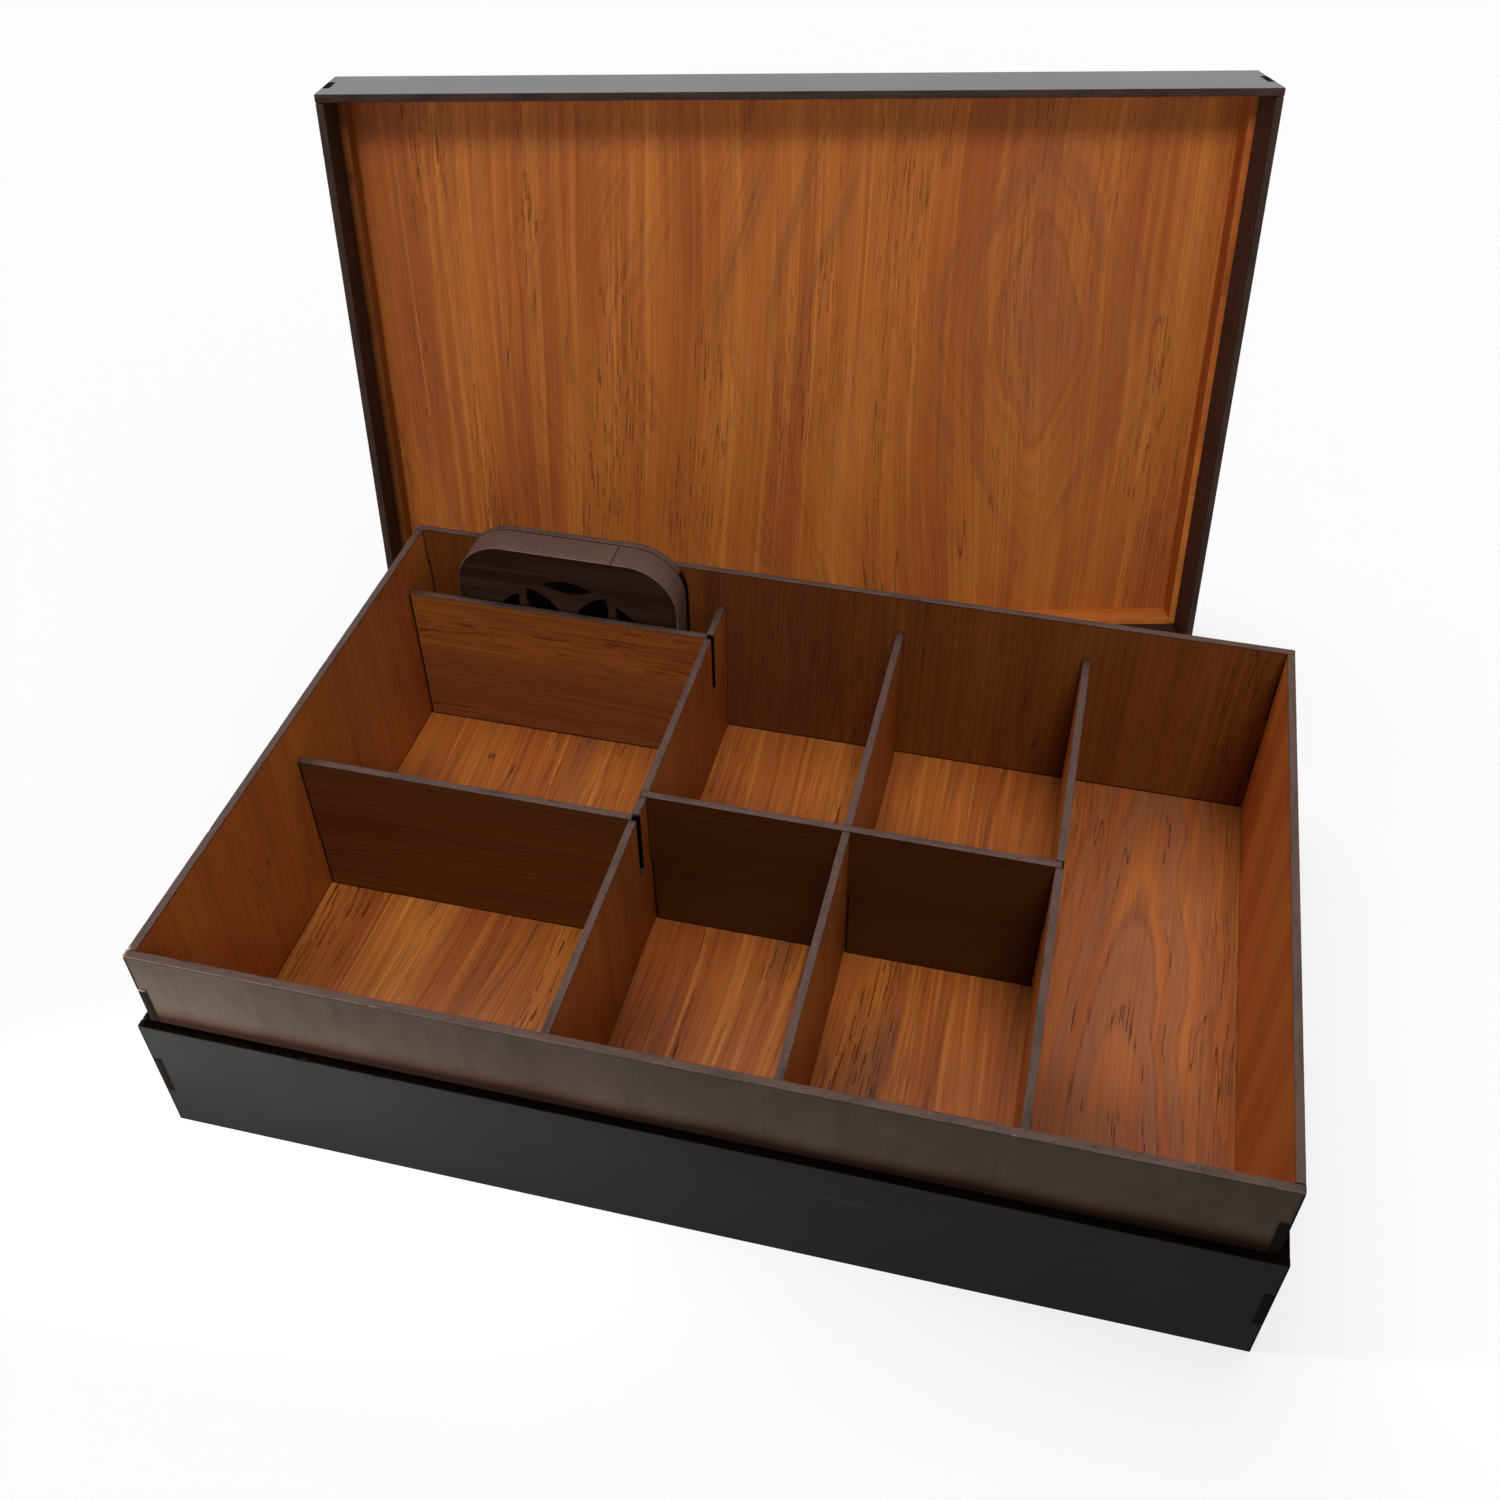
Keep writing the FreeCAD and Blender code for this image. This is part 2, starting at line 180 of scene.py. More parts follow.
class FinishSettings(bpy.types.PropertyGroup):
    """Colours of the finishes."""

    tan: paint("Tan", "Grey-tan bands of a flame in the teak", (0.29, 0.103, 0.040))
    honey: paint("Honey", "Pale streaks of the teak", (0.60, 0.212, 0.038))
    teak: paint("Teak", "Main colour of the teak", (0.42, 0.121, 0.022))
    red_wood: paint("Red wood", "Redder bands of the teak", (0.34, 0.086, 0.018))
    late_wood: paint("Late wood", "Dark growth lines of the teak", (0.135, 0.030, 0.009))
    mineral: paint("Mineral", "Grey-brown clouds in the teak", (0.165, 0.058, 0.029))
    pore: paint("Pore", "Dark pore dashes and cracks of the teak", (0.040, 0.010, 0.005))
    umber: paint("Umber", "Grey-brown outside of the neck", (0.0336, 0.0252, 0.0202))
    # Painted glow and painted shade at the neck's foot, just above the shoulder
    painted_foot_glow: paint("Painted foot glow", "Red-brown glow above the neck's dark foot", (0.026, 0.011, 0.006))
    painted_foot_shade: paint("Painted foot shade", "Dark foot of the neck above the shoulder", (0.008, 0.004, 0.003))
    lid_brown: paint("Lid brown", "Inside of the lid's front, back and left walls", (0.052, 0.025, 0.016))
    # The paler brown inside the lid's right wall is the lid brown lightened as painted light
    lid_brown_painted_light: paint("Lid brown painted light", "Paler inside of the lid's right wall", (0.105, 0.055, 0.037))
    lid_slate: paint("Lid slate", "Satin lid, and sides and back of the box", (0.025, 0.029, 0.028))
    # Slate is the satin lid slate darkened as painted shade for the box's front wall; the shell's inner faces
    # and the floor's underside use it too
    slate: paint("Slate", "Dark front, underside and inner faces of the shell", (0.0100, 0.0108, 0.0100))
    cut: paint("Cut edge", "Laser-cut edge of a board", (0.080, 0.0425, 0.032))
    soot: paint("Soot", "Darkest part of a cut", (0.005, 0.0036, 0.003))
    bare: paint("Bare board", "Bare board where an edge is chipped", (0.24, 0.17, 0.12))
    pale_cut: paint("Pale cut", "Pale arris and cut walls of the insert", (0.20, 0.135, 0.10))
    stain: paint("Stain", "Dark stain of the insert's plates", (0.026, 0.0098, 0.0072))
    band: paint("Band", "Bent band round the insert", (0.094, 0.054, 0.040))


class StageSettings(bpy.types.PropertyGroup):
    """Camera, lamps and floor."""

    eye: FloatVectorProperty(name="Eye", description="Place of the camera",
                             subtype="TRANSLATION", default=(0.08986, -0.38121, 0.48321))
    target: FloatVectorProperty(name="Target", description="Point that the camera looks at",
                                subtype="TRANSLATION", default=(-0.01549, 0.06399, 0.05))
    lens: FloatProperty(name="Lens", description="Focal length on a 36 mm frame, in mm",
                        subtype="DISTANCE_CAMERA", default=36.768)
    shift: FloatVectorProperty(name="Shift", description="Shift of the frame, in widths",
                               size=2, default=(-0.0114, -0.0042))
    key_strength: FloatProperty(name="Key", description="Strength of the soft light from above", default=1.75)
    front_strength: FloatProperty(name="Front", description="Strength of the front light", default=1.35)
    low_strength: FloatProperty(name="Low", description="Strength of the low front light", default=0.2)
    right_strength: FloatProperty(name="Right", description="Strength of the soft light from the right",
                                  default=0.4)
    side_power: FloatProperty(name="Side", description="Power of the low lamp at the left",
                              default=0.375, unit="POWER")
    sky: FloatProperty(name="Sky", description="Strength of the even light all round", default=0.18)
    floor_size: FloatProperty(name="Floor", description="Side of the floor", default=12.0, unit="LENGTH")
    floor_colour: paint("Floor colour", "Pale floor", (0.85, 0.85, 0.85))
    floor_white: FloatProperty(name="Floor white", description="Share of even white where the floor is seen",
                               default=0.6, subtype="FACTOR")


class BoxSettings(bpy.types.PropertyGroup):
    """All settings of the compartment box."""

    boards: PointerProperty(name="Boards", description="Cut and wear", type=BoardSettings)
    finishes: PointerProperty(name="Finishes", description="Colours", type=FinishSettings)
    stage: PointerProperty(name="Stage", description="Camera and light", type=StageSettings)


# Shader arithmetic

class Field:
    """One socket of a node tree: arithmetic on it adds Math nodes, and make adds any other node."""

    def __init__(self, tree, socket=None):
        self.tree = tree
        self.socket = socket

    def make(self, kind, settings=None, values=None, out=0):
        """A new node of a kind with its settings set first, then its inputs; gives one output."""
        node = self.tree.nodes.new(kind)
        for name, value in (settings or {}).items():
            setattr(node, name, value)
        for key, value in (values or {}).items():
            socket = self.pick(node.inputs, key)
            if isinstance(value, Field):
                self.tree.links.new(value.socket, socket)
            else:
                socket.default_value = value
        return Field(self.tree, self.pick(node.outputs, out)) if node.outputs else None

    @staticmethod
    def pick(sockets, key):
        """A socket by its place, identifier or name."""
        if isinstance(key, int):
            return sockets[key]
        return next(socket for socket in sockets if key in (socket.identifier, socket.name))

    def maths(self, operation, *terms):
        """One Math node on the terms."""
        return self.make("ShaderNodeMath", {"operation": operation}, dict(enumerate(terms)))

    def apply(self, operation, *others):
        """One Math node on this number, and on others after it."""
        return self.maths(operation, self, *others)

    def __add__(self, other):
        return self.maths("ADD", self, other)

    def __radd__(self, other):
        return self.maths("ADD", other, self)

    def __sub__(self, other):
        return self.maths("SUBTRACT", self, other)

    def __rsub__(self, other):
        return self.maths("SUBTRACT", other, self)

    def __mul__(self, other):
        return self.maths("MULTIPLY", self, other)

    def __rmul__(self, other):
        return self.maths("MULTIPLY", other, self)

    def __truediv__(self, other):
        return self.maths("DIVIDE", self, other)

    def parts(self):
        """The three numbers of a vector."""
        split = self.make("ShaderNodeSeparateXYZ", None, {"Vector": self})
        return [Field(self.tree, socket) for socket in split.socket.node.outputs]

    def rise(self, low, high):
        """0 below low, 1 above high and a smooth step between them."""
        return self.make("ShaderNodeMapRange", {"interpolation_type": "SMOOTHSTEP"},
                         {"Value": self, "From Min": low, "From Max": high})

    def span(self, low, high):
        """From low to high as this number goes from 0 to 1."""
        return low + (high - low) * self

    def swing(self, reach):
        """A noise's distance from its middle, times a reach."""
        return (self - 0.5) * reach


class Layer(NamedTuple):
    """One noise of a finish: its scale over two places, the shift of its seed, its detail and roughness.

    step is the smooth step that it goes through, if any, and share is its weight in the finish.
    """

    first: float
    second: float
    shift: float = 0.0
    detail: float = 1.0
    roughness: float = 0.5
    step: tuple = None
    share: float = 1.0


class Coat(NamedTuple):
    """Gloss of a finish: least and most roughness, depth and strength of its relief, refractive index."""

    smooth: float
    rough: float
    relief: float
    strength: float
    ior: float


def attribute(tree, name):
    """A vector that is stored at the points of a mesh."""
    return Field(tree).make("ShaderNodeAttribute", {"attribute_name": name}, out="Vector")


def object_place(tree):
    """The three Object coordinates."""
    return Field(tree).make("ShaderNodeTexCoord", out="Object").parts()


def join(x, y, z):
    """A vector of three numbers, of which the first is a field."""
    return x.make("ShaderNodeCombineXYZ", None, {"X": x, "Y": y, "Z": z})


def noise(first, second, seed, layer):
    """A layer's noise over two places, each times its scale, at a seed; then its smooth step, if any."""
    place = join(first * layer.first, second * layer.second, seed + layer.shift)
    make_up = {"Vector": place, "Scale": 1.0, "Detail": layer.detail, "Roughness": layer.roughness}
    value = place.make("ShaderNodeTexNoise", None, make_up, "Fac")
    return value.rise(*layer.step) if layer.step else value


def noise_along(place):
    """Noise along a line."""
    return place.make("ShaderNodeTexNoise", {"noise_dimensions": "1D"},
                      {"W": place, "Scale": 1.0, "Detail": 1.0}, "Fac")


def dice(number):
    """An even random number from 0 to 1 for each whole number."""
    return number.make("ShaderNodeTexWhiteNoise", {"noise_dimensions": "1D"}, {"W": number}, "Value")


def opaque(colour):
    """A colour with full alpha, unless it is a field already."""
    return colour if isinstance(colour, Field) else (*colour, 1.0)


def blend(amount, first, second):
    """Colour that goes from the first to the second as the amount goes from 0 to 1."""
    colours = {"Factor_Float": amount, "A_Color": opaque(first), "B_Color": opaque(second)}
    return amount.make("ShaderNodeMix", {"data_type": "RGBA"}, colours, "Result_Color")


def dim(colour, amount):
    """A colour times a number, of which one varies."""
    varying = colour if isinstance(colour, Field) else amount
    return varying.make("ShaderNodeVectorMath", {"operation": "SCALE"}, {"Vector": colour, "Scale": amount})


def new_tree(name):
    """An empty material and its node tree."""
    material = bpy.data.materials.new(name)
    material.use_nodes = True
    material.node_tree.nodes.clear()
    return material, material.node_tree


def surface(colour, dullness, height, coat):
    """Principled surface with a coat: roughness follows the dullness, from 0 to 1, and relief the height."""
    relief = height.make("ShaderNodeBump", None,
                         {"Height": height, "Distance": coat.relief, "Strength": coat.strength})
    shader = colour.make("ShaderNodeBsdfPrincipled", None, {
        "Base Color": colour,
        "Roughness": dullness.span(coat.smooth, coat.rough),
        "IOR": coat.ior,
        "Normal": relief,
    })
    shader.make("ShaderNodeOutputMaterial", None, {"Surface": shader})


# Teak: its noises, over places in mm
DRIFT = Layer(0.0045, 0.010, detail=0.0)
RIPPLE = Layer(0.022, 0.05, 7.3)
FIBRE = Layer(2.6, 0.03, detail=3.0, roughness=0.7)
HAIR = Layer(7.5, 0.07, 5.1)
BROAD = Layer(0.75, 0.008, 1.8, 2.0, 0.6, share=0.7)
UNEVEN = Layer(0.06, 0.001, 2.2)
PATCH = Layer(0.04, 0.014, 6.1, step=(0.4, 0.62))
WIDE = Layer(0.045, 0.004, 11.7, 2.0, share=0.35)
CLOUD = Layer(0.11, 0.009, 17.2, 2.0, step=(0.56, 0.74), share=0.45)
STREAK = Layer(0.30, 0.004, 3.9, 2.0, step=(0.50, 0.70), share=0.5)
LINE = Layer(1.05, 0.007, 19.4, step=(0.56, 0.68), share=0.22)
CRACK = Layer(0.10, 0.0025, 21.5, share=0.8)
CRACKED = Layer(0.02, 0.012, 23.1, step=(0.56, 0.62))
CLUSTER = Layer(0.045, 0.006, 13.6, step=(0.50, 0.62))

# Teak: reaches and pitches of its figure, in mm, and how far noises shift rings and flames
DRIFT_REACH = 22.0
RIPPLE_REACH = 8.0
DIP_REACH = 6.0
BLUNT = 6.0
CORE_REACH = (4.0, 20.0)
CLEAR_RINGS = (10.0, 34.0)
FLAME_REACH = (14.0, 52.0)
RING_PITCH = 3.6
RING_DRIFT = 5.0
RING_FRAY = 1.1
FLAME_PITCH = 9.0
FLAME_DRIFT = 4.0
FLAME_FRAY = 1.2
FLAME_BORDER = 0.28

# Teak: pores in rows, per mm, and cracks
PORE_ROWS = 2.0
PORE_PACE = (0.022, 0.052)
PORE_SHIFT = 170.0
PORE_DASH = (0.60, 0.64)
PORE_WIDTH = (0.03, 0.18)
PORELESS_PHASE = (0.4, 0.7)
CRACK_WIDTH = 0.0045

# Teak: smooth steps and shares of its colours
RED_STEP = (0.34, 0.58)
HONEY_STEP = (0.56, 0.70)
LATE_RISE = (0.2, 0.85)
LATE_FALL = (0.85, 1.0)
FAINTEST_RING = 0.25
FAINTEST_LATE = 0.1
FAINTEST_TAN = 0.25
LONE_PORES = 0.06
LATE_SHARE = 0.5
CORE_SHARE = 0.40
BORDER_SHARE = 0.35
MARK_SHARE = 0.85
FIBRE_GAIN = (0.70, 1.30)
HAIR_GAIN = (0.85, 1.15)

# Teak: how much a flame, late wood or calm takes away from other marks
FLAME_CLEARS = 0.85
FLAME_SOFTENS = 0.5
BOLD_CLEARS = 0.8
LATE_CLEARS = 0.6
CALM_PORES = 0.6
CALM_CRACKS = 0.5

# Teak: relief and dullness of its marks beside those of its fibres
FIBRE_RELIEF = 0.5
HAIR_RELIEF = 0.25
MARK_RELIEF = 0.8
LATE_RELIEF = 0.2
MARK_DULLNESS = 0.625

# Neck and inside of the lid
UMBER_FIBRE = Layer(1.5, 0.03, detail=3.0, roughness=0.6, share=0.25)
UMBER_CLOUD = Layer(0.03, 0.02, 4.0, 2.0, share=0.5)
UMBER_BLOTCH = Layer(0.14, 0.11, 6.0, 2.0, share=0.35)
UMBER_VEIN = Layer(0.22, 0.006, 8.0, 2.0, step=(0.5, 0.75), share=0.12)
UMBER_GAIN = 0.45
UMBER_RELIEF = 0.7
# Painted shade at the neck's foot and a painted red-brown glow above it, measured up from the shoulder
DARK_FOOT = (2.0 * MM, 6.5 * MM)
WARM_FOOT = (4.0 * MM, 11.0 * MM)
FOOT_SWAY = 4.0 * MM
DARK_SHARE = 0.95
WARM_SHARE = 0.75

# Dark coating
SLATE_MOTTLE = Layer(1.1, 1.1, detail=3.0, roughness=0.6, share=0.4)
SLATE_CLOUD = Layer(0.018, 0.018, 2.0, 2.0, share=0.4)
SLATE_RUB = Layer(0.5, 0.012, 6.0, 2.0, step=(0.62, 0.8), share=0.12)
SLATE_GAIN = 0.6
CLOUD_DULLNESS = 0.6

# Cut edges, whose wear also moves their noises
CUT_LINE = Layer(1.8, 0.2, detail=2.0, roughness=0.6, share=0.3)
CUT_PATCH = Layer(0.06, 0.3, detail=2.0, share=0.7)
CUT_FLECK = Layer(0.30, 1.1, 3.0, step=(0.62, 0.70), share=0.55)
CUT_STEP = (0.12, 0.60)
WEAR_SEED = 0.2
BARE_STEP = (0.55, 1.0)
BARE_SHARE = 0.55
HIDDEN_STEP = (1.0, 2.0)

# Insert: its plates, on Object coordinates in metres, and its band
STAIN_FIBRE = Layer(60.0, 900.0, detail=3.0, roughness=0.6, share=0.7)
STAIN_FIBRE_UP = 1500.0
STAIN_VEIN = Layer(6.0, 100.0, detail=2.0, step=(0.45, 0.7), share=0.3)
STAIN_VEIN_UP = 160.0
STAIN_GAIN = 0.6
BAND_FIBRE = Layer(1.5, 0.03, detail=3.0, roughness=0.6, share=0.5)
BAND_CLOUD = Layer(0.05, 0.03, 4.0, 2.0, share=0.4)
BAND_FLECK = Layer(0.9, 0.9, 8.0, 0.0, step=(0.76, 0.80), share=0.6)
BAND_GAIN = 0.55
BAND_SEED = 17.0
BAND_RELIEF = 0.6
SCORE_PITCH = 1.3
SCORE_SHARE = 0.16

# Share of soot at a cut's edge, for each kind of face
TEAK_SCORCH = 0.75
UMBER_SCORCH = 0.7
SLATE_SCORCH = 0.5


# Finishes

class Grain(NamedTuple):
    """Where a point lies in a teak board, in mm, and how lively the board's figure is."""

    along: Field
    lane: Field
    side: Field
    radius: Field
    calm: Field
    bold: Field
    seed: Field

    def noise(self, layer):
        """A noise stretched along the grain."""
        return noise(self.lane, self.along, self.seed, layer)


def read_grain(tree):
    """Place of a point among growth rings round a heart line that dips under the board, cut by its face.

    The ring's radius is the root of (side squared + start squared) less start, plus the root of (dip squared
    + bluntness squared) less bluntness, where the dip is tilt * along: rings close into long flames round the
    heart and run straight far from it.
    """
    along, across, _ = attribute(tree, "grain").parts()
    start, tilt, calm = attribute(tree, "figure").parts()
    bold = attribute(tree, "boldness").parts()[0]
    seed = attribute(tree, "tone").parts()[2]
    ripple = noise(along, across, seed, RIPPLE)
    lane = across + noise(along, across, seed, DRIFT).swing(DRIFT_REACH)
    side = lane + ripple.swing(RIPPLE_REACH)
    dip = tilt * along + ripple.swing(DIP_REACH)
    sideways = (side * side + start * start).apply("SQRT") - start
    lengthways = (dip * dip + BLUNT * BLUNT).apply("SQRT") - BLUNT
    return Grain(along, lane, side, sideways + lengthways, calm, bold, seed)


def teak_rings(grain, uneven, fibre):
    """Phase of a point in its ring, and the late wood that darkens the ring's end, each by chance."""
    ring = grain.radius / RING_PITCH + uneven.swing(RING_DRIFT) + fibre.swing(RING_FRAY)
    phase = ring.apply("FRACT")
    weight = dice(ring.apply("FLOOR") + grain.seed)
    near = 1.0 - grain.radius.rise(*CLEAR_RINGS)
    clear = grain.noise(PATCH).apply("MAXIMUM", near).span(FAINTEST_RING, 1.0)
    late = phase.rise(*LATE_RISE) * (1.0 - phase.rise(*LATE_FALL))
    return phase, late * (weight * weight).span(FAINTEST_LATE, 1.0) * clear


def teak_flame(grain, uneven, fibre):
    """Strength of the flame round the heart, its bands as a sine of the radius, and the bands' borders."""
    flame = (1.0 - grain.radius.rise(*FLAME_REACH)) * grain.bold
    turn = grain.radius * (2 * np.pi / FLAME_PITCH) + uneven.swing(FLAME_DRIFT) + fibre.swing(FLAME_FRAY)
    nest = turn.apply("SINE").span(0.5, 1.0)
    border = 1.0 - nest.swing(1.0).apply("ABSOLUTE").rise(0.0, FLAME_BORDER)
    return flame, nest, border


def teak_marks(grain, phase, flame, border):
    """Dark marks: pore dashes in rows, crowded in clusters and on the flame's borders, and a few cracks."""
    row = grain.lane * PORE_ROWS
    inside = row.apply("FRACT")
    chance = dice(row.apply("FLOOR") + grain.seed)
    dash = noise_along(grain.along * chance.span(*PORE_PACE) + chance * PORE_SHIFT).rise(*PORE_DASH)
    cluster = noise(grain.side, grain.along, grain.seed, CLUSTER) * (1.0 - flame * FLAME_CLEARS)
    crowd = cluster.apply("MAXIMUM", border * flame).span(LONE_PORES, 1.0)
    pore = dash * (inside * (1.0 - inside)).rise(*PORE_WIDTH) * crowd
    pore = pore * (1.0 - phase.rise(*PORELESS_PHASE) * LATE_CLEARS) * (1.0 - grain.calm * CALM_PORES)
    away = noise(grain.side, grain.along, grain.seed, CRACK).swing(1.0).apply("ABSOLUTE")
    crack = (1.0 - away.rise(0.0, CRACK_WIDTH)) * grain.noise(CRACKED)
    return pore.apply("MAXIMUM", crack * CRACK.share * (1.0 - grain.calm * CALM_CRACKS))


def teak_finish(name, finishes, coat):
    """Teak face: red and honey bands, a flame, growth rings, mineral clouds, fibres, marks and scorch.

    Calm fades the figure and leaves the fibres; light and red set a board apart from its neighbours,
    and on the inner boards and lid strips they are painted light and shade.
    """
    material, tree = new_tree(name)
    grain = read_grain(tree)
    scorch = attribute(tree, "grain").parts()[2]
    light, red, _ = attribute(tree, "tone").parts()
    lively = 1.0 - grain.calm

    fibre = grain.noise(FIBRE)
    hair = grain.noise(HAIR)
    wide = grain.noise(WIDE)
    uneven = noise(grain.radius, grain.along, grain.seed, UNEVEN)
    phase, late = teak_rings(grain, uneven, fibre)
    flame, nest, border = teak_flame(grain, uneven, fibre)
    softened = lively * (1.0 - flame * FLAME_SOFTENS)
    marks = teak_marks(grain, phase, flame, border)

    honey = wide.rise(*HONEY_STEP) * WIDE.share + grain.noise(STREAK) * STREAK.share
    core = (1.0 - grain.radius.rise(*CORE_REACH)) * CORE_SHARE * (1.0 - grain.bold * BOLD_CLEARS)
    cloud = noise(grain.radius, grain.along, grain.seed, CLOUD) * CLOUD.share
    lines = late * LATE_SHARE + grain.noise(LINE) * LINE.share
    broad = 1.0 + grain.noise(BROAD).swing(BROAD.share) * softened
    gain = fibre.span(*FIBRE_GAIN) * hair.span(*HAIR_GAIN) * broad

    colour = blend(wide.rise(*RED_STEP), finishes.red_wood, finishes.teak)
    colour = blend(honey * lively * (1.0 - flame * FLAME_CLEARS), colour, finishes.honey)
    colour = blend(flame * nest.span(FAINTEST_TAN, 1.0), colour, finishes.tan)
    colour = blend(flame * border * BORDER_SHARE, colour, finishes.mineral)
    colour = blend(lines * softened, colour, finishes.late_wood)
    colour = blend((cloud + core) * lively, colour, finishes.mineral)
    # On the inner boards and lid strips, a board's red and light tone is painted shade and painted light
    colour = blend(red, colour, finishes.red_wood)
    colour = dim(colour, gain * light)
    colour = blend(marks * MARK_SHARE, colour, finishes.pore)
    colour = blend(scorch * scorch * TEAK_SCORCH, colour, finishes.soot)

    height = fibre * FIBRE_RELIEF + hair * HAIR_RELIEF - marks * MARK_RELIEF - late * LATE_RELIEF
    surface(colour, fibre + marks * MARK_DULLNESS, height, coat)
    return material


def umber_finish(name, finishes, coat, base, paint_foot_shade=False):
    """Brown face: faint fibres over slow clouds, darker at the cuts and, on the neck, with painted shade and
    a painted red-brown glow above the shoulder.
    """
    material, tree = new_tree(name)
    along, across, scorch = attribute(tree, "grain").parts()
    seed = attribute(tree, "tone").parts()[2]
    fibre = noise(across, along, seed, UMBER_FIBRE)
    cloud = noise(across, along, seed, UMBER_CLOUD)
    blotch = noise(across, along, seed, UMBER_BLOTCH)
    vein = noise(across, along, seed, UMBER_VEIN)
    gain = UMBER_GAIN + UMBER_FIBRE.share * fibre + UMBER_CLOUD.share * cloud + UMBER_BLOTCH.share * blotch
    colour = dim(blend(vein * UMBER_VEIN.share, getattr(finishes, base), finishes.soot), gain)
    # Painted shade darkens the neck's foot above the shoulder, under a painted red-brown glow of bounced
    # light
    if paint_foot_shade:
        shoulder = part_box("outer_front")[1].z
        level = object_place(tree)[2] - shoulder + cloud.swing(FOOT_SWAY)
        colour = blend((1.0 - level.rise(*WARM_FOOT)) * WARM_SHARE, colour, finishes.painted_foot_glow)
        colour = blend((1.0 - level.rise(*DARK_FOOT)) * DARK_SHARE, colour, finishes.painted_foot_shade)
    colour = blend(scorch * scorch * UMBER_SCORCH, colour, finishes.soot)
    surface(colour, fibre, fibre * UMBER_RELIEF + vein * (1.0 - UMBER_RELIEF), coat)
    return material


def slate_finish(name, finishes, coat, base):
    """Satin dark coating: fine mottling, slow clouds and a few long faint rubs."""
    material, tree = new_tree(name)
    along, across, scorch = attribute(tree, "grain").parts()
    seed = attribute(tree, "tone").parts()[2]
    mottle = noise(across, along, seed, SLATE_MOTTLE)
    cloud = noise(across, along, seed, SLATE_CLOUD)
    rub = noise(across, along, seed, SLATE_RUB)
    worn = blend(rub * SLATE_RUB.share, getattr(finishes, base), finishes.cut)
    colour = dim(worn, SLATE_GAIN + SLATE_MOTTLE.share * mottle + SLATE_CLOUD.share * cloud)
    colour = blend(scorch * scorch * SLATE_SCORCH, colour, finishes.soot)
    surface(colour, cloud * CLOUD_DULLNESS + mottle * (1.0 - CLOUD_DULLNESS), mottle, coat)
    return material


def cut_finish(name, finishes, coat, light):
    """Laser-cut edge: fine lines across the board, darkest where cuts are hidden in slots and joints, bare
    board in the deepest nicks.
    """
    material, tree = new_tree(name)
    run, level, wear = attribute(tree, "cut").parts()
    scorch = attribute(tree, "grain").parts()[2]
    line = noise(run, level, wear * WEAR_SEED, CUT_LINE)
    patch = noise(run, level, wear * WEAR_SEED, CUT_PATCH)
    fleck = noise(run, level, wear * WEAR_SEED, CUT_FLECK)
    burnt = (line * CUT_LINE.share + patch * CUT_PATCH.share).rise(*CUT_STEP)
    colour = blend(burnt, finishes.soot, finishes.cut)
    colour = blend(fleck * CUT_FLECK.share, colour, finishes.soot)
    colour = dim(blend(wear.rise(*BARE_STEP) * BARE_SHARE, colour, finishes.bare), light)
    # Cuts hidden in slots and joints go almost black
    colour = blend(scorch.rise(*HIDDEN_STEP), colour, finishes.soot)
    surface(colour, line, line, coat)
    return material


def stain_finish(name, finishes, coat, light):
    """Dark stained plate of the insert: fine straight fibres across the box."""
    material, tree = new_tree(name)
    x, y, z = object_place(tree)
    fibre = noise(x, y, z * STAIN_FIBRE_UP, STAIN_FIBRE)
    vein = noise(x, y, z * STAIN_VEIN_UP, STAIN_VEIN)
    gain = (STAIN_GAIN + STAIN_FIBRE.share * fibre) * light
    colour = dim(blend(vein * STAIN_VEIN.share, finishes.stain, finishes.band), gain)
    surface(colour, fibre, fibre, coat)
    return material


def band_finish(name, finishes, coat):
    """Bent band: faint fibres along it under slow clouds, with fine scoring across it where it bends."""
    material, tree = new_tree(name)
    along, across, bend = attribute(tree, "grain").parts()
    fibre = noise(across, along, BAND_SEED, BAND_FIBRE)
    cloud = noise(across, along, BAND_SEED, BAND_CLOUD)
    fleck = noise(across, along, BAND_SEED, BAND_FLECK)
    score = (along * (2 * np.pi / SCORE_PITCH)).apply("SINE") * bend
    gain = BAND_GAIN + BAND_FIBRE.share * fibre + BAND_CLOUD.share * cloud
    scored = dim(tuple(finishes.band), gain * (1.0 + SCORE_SHARE * score))
    colour = blend(fleck * BAND_FLECK.share, scored, finishes.pale_cut)
    surface(colour, fibre, fibre * BAND_RELIEF + score * (1.0 - BAND_RELIEF), coat)
    return material


UMBER_COAT = Coat(0.36, 0.54, 0.06 * MM, 0.3, 1.04)
STAIN_COAT = Coat(0.42, 0.58, 0.05 * MM, 0.5, 1.15)

